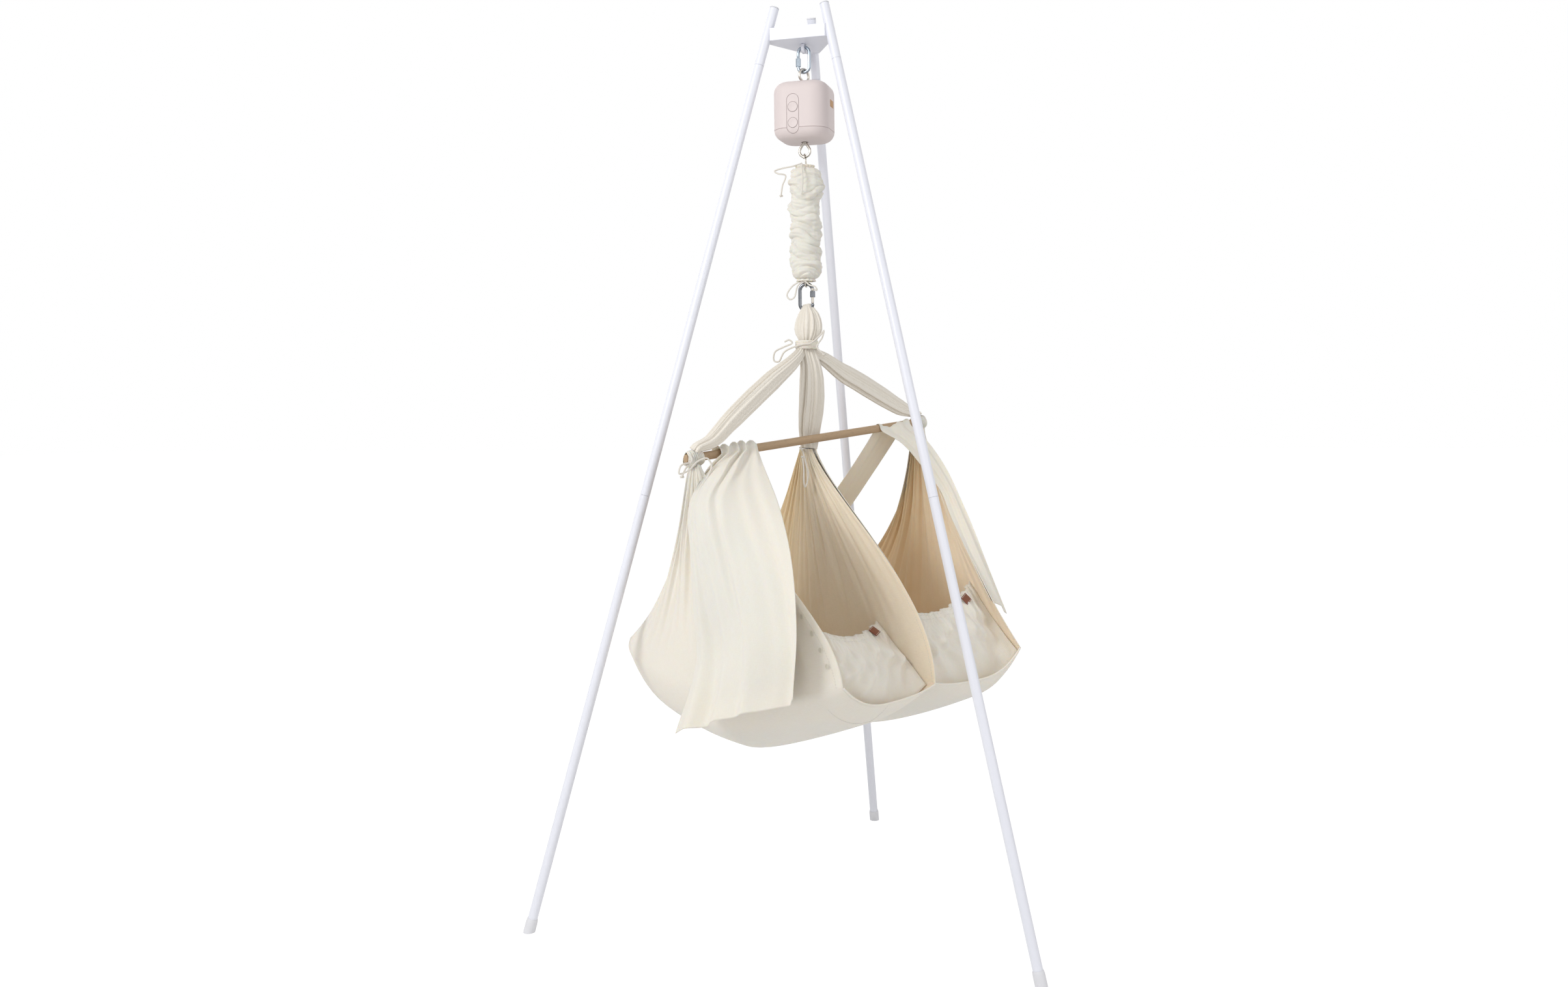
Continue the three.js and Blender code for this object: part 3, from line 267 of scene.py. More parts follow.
class Finish:
    """One material, its shader's fixed values and the nodes behind it."""

    def __init__(self, name, **fixed):
        self.material = bpy.data.materials.new(name)
        self.material.use_nodes = True
        self.tree = self.material.node_tree
        self.shader = self.tree.nodes["Principled BSDF"]
        for socket, value in fixed.items():
            self.shader.inputs[socket.replace("_", " ")].default_value = value

    def node(self, kind, options=None, sockets=None, output=0):
        made = self.tree.nodes.new("ShaderNode" + kind)
        for option, value in (options or {}).items():
            if option != "stops":
                setattr(made, option, value)
                continue
            while len(made.color_ramp.elements) < len(value):
                made.color_ramp.elements.new(0.5)
            for element, (place, shade) in zip(made.color_ramp.elements, value):
                element.position = place
                element.color = (shade, shade, shade, 1)
        for socket, value in (sockets or {}).items():
            feed(self.tree, made.inputs[socket], value)
        return Wire(self.tree, made.outputs[output])

    def place(self, scale, along_cloth=False):
        kind = "UV" if along_cloth else "Object"
        start = self.node("TexCoord", output=kind)
        return self.node("Mapping", sockets={"Vector": start, "Scale": scale})

    def noise(self, size, detail=3.0, stretch=(1, 1, 1), along_cloth=False):
        scale = tuple(k / size for k in stretch)
        return self.node(
            "TexNoise", sockets={"Vector": self.place(scale, along_cloth), "Scale": 1.0, "Detail": detail}
        )

    def threads(self, pitch, direction):
        options = {"wave_type": "BANDS", "bands_direction": direction, "wave_profile": "SIN"}
        at = self.place((1 / pitch, 1 / pitch, 1), True)
        sockets = {"Vector": at, "Scale": 0.314, "Distortion": 0.6, "Detail": 1.0, "Detail Scale": 0.4}
        return self.node("TexWave", options, sockets)

    def step(self, low, high, value):
        """Goes from 0 to 1 while the value passes from low to high."""
        return self.node("ValToRGB", {"stops": [(low, 0.0), (high, 1.0)]}, {"Fac": value})

    def mix(self, factor, first, second):
        made = self.tree.nodes.new("ShaderNodeMix")
        made.data_type = "RGBA"
        feed(self.tree, made.inputs[0], factor)
        feed(self.tree, made.inputs[6], tint(first))
        feed(self.tree, made.inputs[7], tint(second))
        return Wire(self.tree, made.outputs[2])

    def bump(self, height, strength, distance):
        sockets = {"Height": height, "Strength": strength, "Distance": distance}
        self.use("Normal", self.node("Bump", sockets=sockets))

    def use(self, socket, value):
        feed(self.tree, self.shader.inputs[socket], value)


def tint(value):
    return value if isinstance(value, Wire) else (*value[:3], 1.0)


def shade(colour, share):
    return tuple(min(1.0, c * share) for c in colour)


def between(colour, dark, light):
    """A darker and a lighter form of a colour."""
    return shade(colour, dark), shade(colour, light)


def even_finish(name, colours, patch, rough, grain=None, **fixed):
    """A look with faint patches between two colours, each noise given as size, detail and range."""
    finish = Finish(name, **fixed)
    finish.use("Base Color", finish.mix(finish.noise(*patch), *colours))
    size, detail, spread, least = rough
    finish.use("Roughness", finish.noise(size, detail) * spread + least)
    if grain:
        size, detail, strength, distance = grain
        finish.bump(finish.noise(size, detail), strength, distance)
    return finish.material


def enamel_finish():
    colours = between(set_colour("stand", "enamel"), 0.965, 1.02)
    coat = {"Specular_IOR_Level": 0.5, "Coat_Weight": 0.25, "Coat_Roughness": 0.18}
    rough, grain = (0.05, 3.0, 0.1, 0.33), (0.0016, 2.0, 0.08, 0.0002)
    return even_finish("white_enamel", colours, (0.22, 3.0), rough, grain, **coat)


def caps_finish():
    colours = between(set_colour("stand", "plastic"), 0.94, 1.0)
    rough, grain = (0.01, 3.0, 0.12, 0.46), (0.0007, 2.0, 0.12, 0.0002)
    return even_finish("cap_plastic", colours, (0.03, 3.0), rough, grain)


def shell_finish():
    colours = between(set_colour("motor", "shell"), 0.975, 1.015)
    rough, grain = (0.006, 3.0, 0.08, 0.52), (0.0005, 2.0, 0.16, 0.0002)
    return even_finish("housing_shell", colours, (0.06, 3.0), rough, grain, Specular_IOR_Level=0.4)


def metal_finish(name, colour, least, grain_size):
    rough, grain = (0.004, 4.0, 0.16, least), (grain_size, 3.0, 0.1, 0.0001)
    return even_finish(name, between(colour, 0.82, 1.08), (0.012, 4.0), rough, grain, Metallic=1.0)


def black_finish():
    colours = between((0.035, 0.035, 0.038), 0.85, 1.0)
    rough, grain = (0.004, 3.0, 0.1, 0.45), (0.0006, 2.0, 0.15, 0.0002)
    return even_finish("black_plastic", colours, (0.01, 3.0), rough, grain)


def thread_finish():
    colours = between(set_colour("cloth", "cotton"), 0.72, 0.95)
    return even_finish("sewing_thread", colours, (0.004, 3.0), (0.002, 3.0, 0.1, 0.7), Sheen_Weight=0.1)


def snap_finish():
    colours = (0.66, 0.62, 0.53), (0.74, 0.70, 0.60)
    return even_finish("snap_plastic", colours, (0.01, 3.0), (0.004, 3.0, 0.1, 0.34))


def board_finish():
    finish = Finish("circuit_board")
    tracks = finish.node("TexChecker", sockets={"Vector": finish.place((1, 1, 1)), "Scale": 420.0}, output=1)
    finish.use("Base Color", finish.mix(tracks * 0.3, (0.03, 0.17, 0.08), (0.06, 0.28, 0.13)))
    finish.use("Roughness", finish.noise(0.003) * 0.1 + 0.35)
    return finish.material


def leather_finish(name, colour):
    finish = Finish(name, Specular_IOR_Level=0.45)
    cells = finish.node("TexVoronoi", sockets={"Vector": finish.place((1, 1, 1)), "Scale": 900.0})
    worn = finish.noise(0.006, 4.0)
    finish.use("Base Color", finish.mix(worn, shade(colour, 0.75), shade(colour, 1.3)))
    finish.use("Roughness", worn * 0.18 + 0.42)
    finish.bump(cells, 0.3, 0.0003)
    return finish.material


def cloth_finish(name, colour, shadow, lit_foot_colour=None, turn=(0.28, 0.68), glow=0.35):
    """A plain weave. Where a second colour is given, the cloth turns to it towards its foot edge, as painted
    light that falls into the cradle there.
    """
    light = {"Subsurface_Weight": glow, "Subsurface_Radius": (1.0, 0.65, 0.35), "Subsurface_Scale": 0.004}
    finish = Finish(name, Specular_IOR_Level=0.25, Sheen_Weight=0.12, Sheen_Roughness=0.5, **light)
    pitch = settings("cloth").thread_pitch
    weave = finish.threads(pitch, "X") * finish.threads(pitch, "Y")
    slubs = finish.noise(0.004, 2.0, (0.25, 2.5, 1), True)
    cross_slubs = finish.noise(0.004, 2.0, (2.5, 0.25, 1), True)
    creases = finish.noise(0.035, 5.0)
    patches = finish.noise(0.16, 2.0)
    fabric = finish.mix(patches, shade(colour, 0.965), shade(colour, 1.02))
    # painted light: towards the foot the painted shade of the base colour gives way to the lit colour
    if lit_foot_colour:
        place = finish.place((1, 1, 1), True)
        length_way = finish.node("SeparateXYZ", sockets={"Vector": place}, output=1)
        near_foot = finish.step(*turn, length_way + creases * 0.1 - 0.05)
        fabric = finish.mix(near_foot, fabric, lit_foot_colour)
    threads = (slubs + cross_slubs) * 0.5
    uneven = finish.step(0.36, 0.66, threads)
    finish.use("Base Color", finish.mix(uneven * 0.22, fabric, shadow))
    finish.use("Roughness", threads * 0.15 + 0.8)
    finish.bump(weave * 0.35 + threads * 0.5 + creases * 2.2, 0.32, 0.0012)
    return finish.material


def inside_shade_finish(name, turn):
    """The inner side of a cradle, with painted shade that turns to painted light, and so paler, towards the
    foot.
    """
    lit_foot_colour = set_colour("cloth", "pale_inside_shade")
    return cloth_finish(name, set_colour("cloth", "lining"), LINING_SHADOW, lit_foot_colour, turn)


def cord_finish():
    colour = set_colour("cloth", "cotton")
    finish = Finish("cord_cotton", Specular_IOR_Level=0.25, Sheen_Weight=0.1)
    options = {"wave_type": "BANDS", "bands_direction": "DIAGONAL", "wave_profile": "SIN"}
    sockets = {"Vector": finish.place((140, 420, 1), True), "Scale": 1.0, "Distortion": 0.4}
    plies = finish.node("TexWave", options, sockets)
    # painted shade: the cord is darker in the grooves between its plies, where the bump is low
    finish.use("Base Color", finish.mix(plies, shade(colour, 0.8), shade(colour, 1.03)))
    finish.use("Roughness", plies * 0.1 + 0.8)
    finish.bump(plies, 0.5, 0.0006)
    return finish.material


def oak_finish():
    colour = set_colour("wood", "oak")
    finish = Finish("oiled_oak", Specular_IOR_Level=0.4)
    fibres = finish.noise(0.0022, 3.0, (1, 0.035, 1), True)
    bands = finish.noise(0.012, 3.0, (1, 0.05, 1), True)
    pores = finish.noise(0.0011, 2.0, (1, 0.09, 1), True)
    dark_pores = finish.step(0.60, 0.70, pores)
    grain = finish.mix(bands, shade(colour, 0.72), shade(colour, 1.22))
    fine = finish.mix(fibres * 0.5, grain, shade(colour, 0.62))
    finish.use("Base Color", finish.mix(dark_pores * 0.5, fine, shade(colour, 0.4)))
    finish.use("Roughness", fibres * 0.14 + 0.46)
    finish.bump(fibres + dark_pores * -0.6, 0.25, 0.0004)
    return finish.material


MAKERS = {
    "enamel": enamel_finish,
    "caps": caps_finish,
    "zinc": lambda: metal_finish("zinc_plate", (0.42, 0.48, 0.54), 0.24, 0.0012),
    "steel": lambda: metal_finish("plain_steel", (0.66, 0.62, 0.56), 0.26, 0.0009),
    "dark_chrome": lambda: metal_finish("dark_chrome", (0.23, 0.24, 0.26), 0.14, 0.002),
    "shell": shell_finish,
    "brown_tag": lambda: leather_finish("side_tag_leather", set_colour("motor", "tag")),
    "black": black_finish,
    "board": board_finish,
    "leather": lambda: leather_finish("tag_leather", set_colour("cloth", "leather")),
    "cotton": lambda: cloth_finish("undyed_cotton", set_colour("cloth", "cotton"), COTTON_SHADOW),
    "bundle": lambda: cloth_finish("gathered_cotton", set_colour("cloth", "cotton"), COTTON_SHADOW, glow=0.0),
    # painted shade and painted light of the two cradles' insides, turning at a different place in each cradle
    "lining_left": lambda: inside_shade_finish("left_lining", (0.18, 0.48)),
    "lining_right": lambda: inside_shade_finish("right_lining", (0.30, 0.66)),
    "cord": cord_finish,
    "oak": oak_finish,
    "thread": thread_finish,
    "snap": snap_finish,
}
made_finishes = {}


def finish(name):
    if name not in made_finishes:
        made_finishes[name] = MAKERS[name]()
    return made_finishes[name]


# Meshes


def round_angles(count):
    return np.linspace(0, FULL_TURN, count, endpoint=False)


def new_object(name, data):
    made = bpy.data.objects.new(name, data)
    bpy.context.scene.collection.objects.link(made)
    return made


def new_piece(name, points, faces, finish_name, uvs=None, sharp=None):
    """A mesh object at the origin from points, faces and one UV pair for each corner of each face."""
    mesh = bpy.data.meshes.new(name)
    mesh.from_pydata([tuple(p) for p in points], [], faces)
    if uvs is not None:
        layer = mesh.uv_layers.new(name="cloth")
        layer.data.foreach_set("uv", np.asarray(uvs, np.float32).ravel())
    mesh.polygons.foreach_set("use_smooth", [True] * len(mesh.polygons))
    if sharp:
        mesh.set_sharp_from_angle(angle=math.radians(sharp))
    mesh.materials.append(finish(finish_name))
    return new_object(name, mesh)


def creased(piece, angle):
    """Keeps the edges sharp that are sharper than the angle in degrees."""
    piece.data.set_sharp_from_angle(angle=math.radians(angle))
    return piece


def smoothed(piece, angle):
    """Shades a piece smooth, apart from its sharp edges."""
    piece.data.polygons.foreach_set("use_smooth", [True] * len(piece.data.polygons))
    return creased(piece, angle)


def settled(piece):
    """Applies the modifiers of a piece to its mesh."""
    evaluated = piece.evaluated_get(bpy.context.evaluated_depsgraph_get())
    mesh = bpy.data.meshes.new_from_object(evaluated)
    piece.modifiers.clear()
    old = piece.data
    piece.data = mesh
    bpy.data.meshes.remove(old)
    return piece


@contextmanager
def opened(piece):
    """A piece's mesh opened for a change, and written back after it."""
    work = bmesh.new()
    work.from_mesh(piece.data)
    yield work
    work.to_mesh(piece.data)
    work.free()


def softened(piece, width, segments, angle, harden=False):
    """Rounds the edges that are sharper than the angle in degrees."""
    edge = piece.modifiers.new("soft edges", "BEVEL")
    edge.width = width
    edge.segments = segments
    edge.limit_method = "ANGLE"
    edge.angle_limit = math.radians(angle)
    edge.harden_normals = harden
    return settled(piece)


def cleaned(piece, distance=1e-6):
    """Merges a piece's doubles and turns its faces outwards."""
    with opened(piece) as work:
        bmesh.ops.remove_doubles(work, verts=work.verts, dist=distance)
        bmesh.ops.recalc_face_normals(work, faces=work.faces)
    return piece


def joined(name, pieces):
    """One object from several, with their materials kept."""
    whole = bmesh.new()
    materials = []
    for piece in pieces:
        part = piece.data.copy()
        places = []
        for material in piece.data.materials:
            if material not in materials:
                materials.append(material)
            places.append(materials.index(material))
        for face in part.polygons:
            face.material_index = places[face.material_index]
        whole.from_mesh(part)
        bpy.data.meshes.remove(part)
        bpy.data.objects.remove(piece)
    mesh = bpy.data.meshes.new(name)
    whole.to_mesh(mesh)
    whole.free()
    for material in materials:
        mesh.materials.append(material)
    return new_object(name, mesh)


def ring_faces(rows, count, loop=False, capped=True):
    """Quads between rings of points, with flat fans or ring faces at the two ends."""
    faces = []
    corners = []
    last = rows if loop else rows - 1
    for i in range(last):
        below = ((i + 1) % rows) * count
        for j in range(count):
            k = (j + 1) % count
            faces.append((i * count + j, i * count + k, below + k, below + j))
            corners += [(j, i), (j + 1, i), (j + 1, i + 1), (j, i + 1)]
    if capped and not loop:
        faces.append(tuple(reversed(range(count))))
        corners += [(j, 0) for j in reversed(range(count))]
        faces.append(tuple((rows - 1) * count + j for j in range(count)))
        corners += [(j, rows - 1) for j in range(count)]
    return faces, np.array(corners, float)


def skinned(name, rings, finish_name, loop=False, capped=True, sharp=None, round_size=None, long_size=0):
    """A body skinned over rings of points, with a UV map in metres round and along it."""
    rings = np.asarray(rings, float)
    rows, count = rings.shape[:2]
    faces, corners = ring_faces(rows, count, loop, capped)
    if round_size is None:
        steps = np.linalg.norm(np.roll(rings, -1, 1) - rings, axis=2).sum(1)
        round_size = float(steps.mean())
    if not long_size:
        long_size = float(np.linalg.norm(np.diff(rings.mean(1), axis=0), axis=1).sum()) or 0.01
    uvs = corners * (round_size / count, long_size / max(rows - 1, 1))
    return new_piece(name, rings.reshape(-1, 3), faces, finish_name, uvs, sharp)


def turned(name, profile, start, end, finish_name, sides=48):
    """A closed turned body: profile pairs of radius and distance along the line from start to end."""
    start, end = Vector(start), Vector(end)
    aim = (end - start).normalized()
    across = aim.orthogonal().normalized()
    other = aim.cross(across)
    around = round_angles(sides)
    rings = []
    for radius, distance in profile:
        centre = np.array(start + aim * distance)
        circle = np.outer(np.cos(around), across) + np.outer(np.sin(around), other)
        rings.append(centre + radius * circle)
    return creased(cleaned(skinned(name, rings, finish_name, loop=True)), TURNED_CREASE)


def chamfered(radius, low, high, edge):
    """The profile of a solid round rod with small chamfers."""
    inner = radius - edge
    return [(0, low), (inner, low), (radius, low + edge), (radius, high - edge), (inner, high), (0, high)]


def dressed_copy(name, node, finish_name, bevel=0.0006, segments=2):
    """A copy of a CAD node with its flat faces made whole and its edges softened."""
    piece = new_object(name, frame["nodes"][node].data.copy())
    with opened(piece) as work:
        bmesh.ops.remove_doubles(work, verts=work.verts, dist=2e-5)
        bmesh.ops.dissolve_limit(work, angle_limit=math.radians(2), verts=work.verts, edges=work.edges)
    piece.data.materials.clear()
    piece.data.materials.append(finish(finish_name))
    smoothed(piece, 40)
    softened(piece, bevel, segments, 38, True)
    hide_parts(node)
    return piece


def placed(piece, body, slot_name, *nodes):
    """Says which CAD nodes a piece stands for and which body carries it. Its slot_name is not used."""
    if nodes:
        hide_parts(*nodes)
    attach(piece, body)
    return piece


# Lines through space


def smooth_line(points, spacing):
    """Points a set distance apart on a centripetal Catmull-Rom line through the given ones."""
    given = np.asarray(points, float)
    ends = [2 * given[0] - given[1]], [2 * given[-1] - given[-2]]
    line = np.concatenate([ends[0], given, ends[1]])
    samples = []
    for i in range(1, len(line) - 2):
        p = line[i - 1 : i + 3]
        knots = np.concatenate([[0], np.cumsum(np.linalg.norm(np.diff(p, axis=0), axis=1) ** 0.5)])
        for t in np.linspace(knots[1], knots[2], 24, endpoint=False):
            a = [lerp_at(t, knots[k], knots[k + 1], p[k], p[k + 1]) for k in range(3)]
            b = [lerp_at(t, knots[k], knots[k + 2], a[k], a[k + 1]) for k in range(2)]
            samples.append(lerp_at(t, knots[1], knots[2], b[0], b[1]))
    samples.append(given[-1])
    samples = np.array(samples)
    run = np.concatenate([[0], np.cumsum(np.linalg.norm(np.diff(samples, axis=0), axis=1))])
    count = max(2, int(round(run[-1] / spacing)) + 1)
    at = np.linspace(0, run[-1], count)
    return np.stack([np.interp(at, run, samples[:, k]) for k in range(3)], axis=1)


def lerp_at(t, t0, t1, a, b):
    share = (t - t0) / max(t1 - t0, 1e-9)
    return a + (b - a) * share


def line_length(points):
    return float(np.linalg.norm(np.diff(np.asarray(points), axis=0), axis=1).sum())


def carried_frames(line):
    """Two directions across a line at each of its points, carried along without twisting."""
    line = np.asarray(line, float)
    aims = np.gradient(line, axis=0)
    aims /= np.linalg.norm(aims, axis=1)[:, None]
    across = np.cross(aims[0], (0.0, 0.0, 1.0) if abs(aims[0][2]) < 0.9 else (1.0, 0.0, 0.0))
    firsts, seconds = [], []
    for aim in aims:
        across = across - aim * float(across @ aim)
        across /= np.linalg.norm(across)
        firsts.append(across.copy())
        seconds.append(np.cross(aim, across))
    return np.array(firsts), np.array(seconds)


def tube(name, line, radius, finish_name, sides):
    """A round tube along a line, its ends rounded off."""
    line = np.asarray(line, float)
    firsts, seconds = carried_frames(line)
    around = round_angles(sides)
    circle = np.stack([np.cos(around), np.sin(around)], axis=1)
    rings = [p + radius * (circle[:, :1] * a + circle[:, 1:] * b) for p, a, b in zip(line, firsts, seconds)]
    for end, place in ((0, line[0]), (-1, line[-1])):
        inner = place + (rings[end] - place) * 0.55
        aim = place - line[1 if end == 0 else -2]
        inner += aim / np.linalg.norm(aim) * radius * 0.5
        if end == 0:
            rings.insert(0, inner)
        else:
            rings.append(inner)
    return skinned(name, rings, finish_name, sharp=60)


def stand_arc(centre_z, radius, start, stop, count, turn=0.0):
    """Points on part of a circle that stands upright on the hanging line, turned about it."""
    angles = np.radians(np.linspace(start, stop, count))
    side = radius * np.cos(angles)
    a = math.radians(turn)
    return np.stack(
        [side * math.cos(a), side * math.sin(a) + AXIS_Y, centre_z + radius * np.sin(angles)], axis=1
    )


def on_axis(x, y, z):
    return (x, y + AXIS_Y, z)


# Geometry Nodes


class Tree:
    """A Geometry Nodes tree with named inputs."""

    def __init__(self, name, inputs):
        self.group = bpy.data.node_groups.new(name, "GeometryNodeTree")
        face = self.group.interface
        face.new_socket("Geometry", in_out="INPUT", socket_type="NodeSocketGeometry")
        for label, kind in inputs.items():
            face.new_socket(label, in_out="INPUT", socket_type="NodeSocket" + kind)
        face.new_socket("Geometry", in_out="OUTPUT", socket_type="NodeSocketGeometry")
        self.start = self.group.nodes.new("NodeGroupInput")
        self.end = self.group.nodes.new("NodeGroupOutput")

    def value(self, name):
        return self.start.outputs[name]

    def node(self, kind, options=None, sockets=None):
        made = self.group.nodes.new(kind)
        for option, value in (options or {}).items():
            setattr(made, option, value)
        for socket, value in (sockets or {}).items():
            if isinstance(value, bpy.types.NodeSocket):
                self.group.links.new(value, made.inputs[socket])
            else:
                made.inputs[socket].default_value = value
        return made

    def finish(self, geometry, material):
        realized = self.node("GeometryNodeRealizeInstances", sockets={"Geometry": geometry})
        sockets = {"Geometry": realized.outputs[0], "Material": material}
        coated = self.node("GeometryNodeSetMaterial", sockets=sockets)
        self.group.links.new(coated.outputs[0], self.end.inputs[0])
        return self.group


def stitch_tree():
    """Short threads laid end to end along lines."""
    tree = Tree("stitches", {"Pitch": "Float", "Stitch": "Float", "Thread": "Float", "Finish": "Material"})
    line = tree.node("GeometryNodeMeshToCurve", sockets={"Mesh": tree.value("Geometry")})
    sockets = {"Curve": line.outputs[0], "Length": tree.value("Pitch")}
    spaced = tree.node("GeometryNodeResampleCurve", {"mode": "LENGTH"}, sockets)
    tangent = tree.node("GeometryNodeInputTangent")
    aim = tree.node("FunctionNodeAlignRotationToVector", {"axis": "Z"}, {"Vector": tangent.outputs[0]})
    sockets = {"Vertices": 6, "Radius": tree.value("Thread"), "Depth": tree.value("Stitch")}
    thread = tree.node("GeometryNodeMeshCylinder", sockets=sockets)
    sockets = {"Points": spaced.outputs[0], "Instance": thread.outputs[0], "Rotation": aim.outputs[0]}
    laid = tree.node("GeometryNodeInstanceOnPoints", sockets=sockets)
    return tree.finish(laid.outputs[0], tree.value("Finish"))


def cord_tree():
    """A round sewn edge that follows lines."""
    tree = Tree("piping", {"Radius": "Float", "Sides": "Int", "Finish": "Material"})
    line = tree.node("GeometryNodeMeshToCurve", sockets={"Mesh": tree.value("Geometry")})
    sockets = {"Resolution": tree.value("Sides"), "Radius": tree.value("Radius")}
    profile = tree.node("GeometryNodeCurvePrimitiveCircle", sockets=sockets)
    sockets = {"Curve": line.outputs[0], "Profile Curve": profile.outputs[0], "Fill Caps": True}
    swept = tree.node("GeometryNodeCurveToMesh", sockets=sockets)
    return tree.finish(swept.outputs[0], tree.value("Finish"))


made_trees = {}


def grown(name, lines, maker, values):
    """A mesh that a tree grows on polylines."""
    points, edges = [], []
    for line in lines:
        start = len(points)
        points += [tuple(p) for p in line]
        edges += [(start + i, start + i + 1) for i in range(len(line) - 1)]
    mesh = bpy.data.meshes.new(name)
    mesh.from_pydata(points, edges, [])
    piece = new_object(name, mesh)
    if maker not in made_trees:
        made_trees[maker] = maker()
    tree = made_trees[maker]
    modifier = piece.modifiers.new("grown", "NODES")
    modifier.node_group = tree
    for item in tree.interface.items_tree:
        if item.item_type == "SOCKET" and item.in_out == "INPUT" and item.name in values:
            modifier[item.identifier] = values[item.name]
    return smoothed(settled(piece), 50)


def stitched(name, lines, body):
    pitch = settings("cloth").stitch_pitch
    values = {"Pitch": pitch, "Stitch": pitch * 0.62, "Thread": THREAD_R, "Finish": finish("thread")}
    return placed(grown(name, lines, stitch_tree, values), body, "cotton")


def piped(name, lines, radius, body):
    values = {"Radius": radius, "Sides": 10, "Finish": finish("cotton")}
    return placed(grown(name, lines, cord_tree, values), body, "cotton")


# Cloth


def hung(x, y, z):
    """A point of the hanging part, turned with the bar, in the frame of the whole object."""
    x, y, z = np.broadcast_arrays(x, y, z)
    return np.stack(
        [
            x * math.cos(YAW) - y * math.sin(YAW) + HAMMOCK_SHIFT[0],
            x * math.sin(YAW) + y * math.cos(YAW) + HAMMOCK_SHIFT[1] + AXIS_Y,
            z + 0.0 * x,
        ],
        axis=-1,
    )


def hung_at(*places):
    """Points of the hanging part from places in millimetres."""
    return [hung(*(k / MM for k in place)) for place in places]


def axis_at(*places):
    """Points beside the hanging line from places in millimetres."""
    return [on_axis(*(k / MM for k in place)) for place in places]


def mix(a, b, share):
    return a + (b - a) * share


def unit(vector):
    return vector / np.linalg.norm(vector)


def clamp01(value):
    return np.clip(value, 0.0, 1.0)


def near_end(u, start):
    """Goes from 0 at a share of the way to the head or foot to 1 at the very end."""
    return clamp01((np.abs(u) - start) / (1 - start))


def grid_faces(rows, columns):
    """Quads over a grid of points, with their corners counted in steps of the grid."""
    faces, corners = [], []
    for i in range(rows):
        for j in range(columns):
            a = i * (columns + 1) + j
            faces.append((a, a + 1, a + columns + 2, a + columns + 1))
            corners += [(j, i), (j + 1, i), (j + 1, i + 1), (j, i + 1)]
    return faces, np.array(corners, float)


def turned_over(faces, corners):
    """The same quads seen from their other side."""
    return [tuple(reversed(face)) for face in faces], corners.reshape(-1, 4, 2)[:, ::-1].reshape(-1, 2)


def looks_towards(points, place):
    """Whether the quads over a grid of points face a place, judged in the middle of the grid."""
    i, j = (points.shape[0] - 1) // 2, (points.shape[1] - 1) // 2
    down = points[i + 1, j] - points[i, j]
    right = points[i, j + 1] - points[i, j]
    return np.dot(np.cross(right, down), np.asarray(place) - points[i, j]) > 0


def sheet_piece(name, points, flat, finish_names, thickness=None, inwards=None):
    """A cloth of even thickness from a grid of points. A second finish is for its inner side."""
    rows, columns = points.shape[0] - 1, points.shape[1] - 1
    faces, corners = grid_faces(rows, columns)
    if inwards is not None and looks_towards(points, inwards):
        faces, corners = turned_over(faces, corners)
    uvs = corners * (flat[0] / columns, flat[1] / rows)
    piece = new_piece(name, points.reshape(-1, 3), faces, finish_names[0], uvs)
    for extra in finish_names[1:]:
        piece.data.materials.append(finish(extra))
    body = piece.modifiers.new("cloth", "SOLIDIFY")
    body.thickness = thickness or settings("cloth").thickness
    body.offset = 0
    body.use_even_offset = False
    if len(finish_names) > 1:
        body.material_offset = 1
    return settled(piece)


def base_y(u):
    middle = (BASE_FOOT + BASE_HEAD) / 2
    half = (BASE_HEAD - BASE_FOOT) / 2
    return middle - half * (u - 0.05 * near_end(u, 0.8) ** 2 * np.sign(u))


def outer_edge_x(u):
    return BASE_HALF - 0.038 * near_end(u, 0.7) ** 2


def outer_edge_z(u):
    return 0.568 + np.where(u < 0, 0.076, 0.062) * np.abs(u) ** 2.5


def inner_edge_z(u):
    return 0.556 + 0.034 * u * u


def inner_edge_x(u):
    return 0.009 - 0.0055 * near_end(u, 0.6)


def foot_reach(side, outer, u):
    """How much further forward than the others the foot corners of some walls lie."""
    reach = (0.042 if side < 0 else 0.0) if outer else (0.014 if side < 0 else 0.002)
    return reach * clamp01((u - 0.3) / 0.7) ** 1.5


def keel_z(u):
    lift = 0.020 * near_end(u, 0.8) ** 2
    return BASE_LOW + lift + np.where(u < 0, 0.074 * u * u, 0.135 * np.abs(u) ** 1.3)


def base_point(side, u, s):
    share = (s + 1) / 2
    x = mix(outer_edge_x(u), inner_edge_x(u), share)
    edge = np.where(s < 0, outer_edge_z(u), inner_edge_z(u))
    z = keel_z(u) + (edge - keel_z(u)) * np.abs(s) ** 2.6
    reach = mix(foot_reach(side, True, u), foot_reach(side, False, u), share)
    return side * x, base_y(u) - reach, z


def bar_z(x):
    return BAR_Z + BAR_SLOPE * x


def wall_folds(u, t):
    """How far the folds of a wall stand out, deepest below the gather at the bar."""
    spread = np.sin(np.pi * np.minimum(1, t * 1.25) ** 0.8)
    wide = np.cos(np.pi * 6 * (u + 1)) * 0.0065 * spread
    turn = FULL_TURN * (8.5 * u + 0.30 * np.sin(3.1 * u + 3.5 * t) + 0.12 * np.sin(9 * u))
    close = np.cos(turn) * 0.0030 * (1 - t) ** 0.8 * clamp01(t * 14)
    turn = FULL_TURN * (19 * u + 0.4 * np.sin(5 * u - 2 * t))
    fine = np.cos(turn) * 0.0013 * (1 - t) ** 1.5 * clamp01(t * 14)
    soft = 0.0016 * np.sin(7 * u + 11 * t) * np.sin(np.pi * t)
    return wide + close + fine + soft


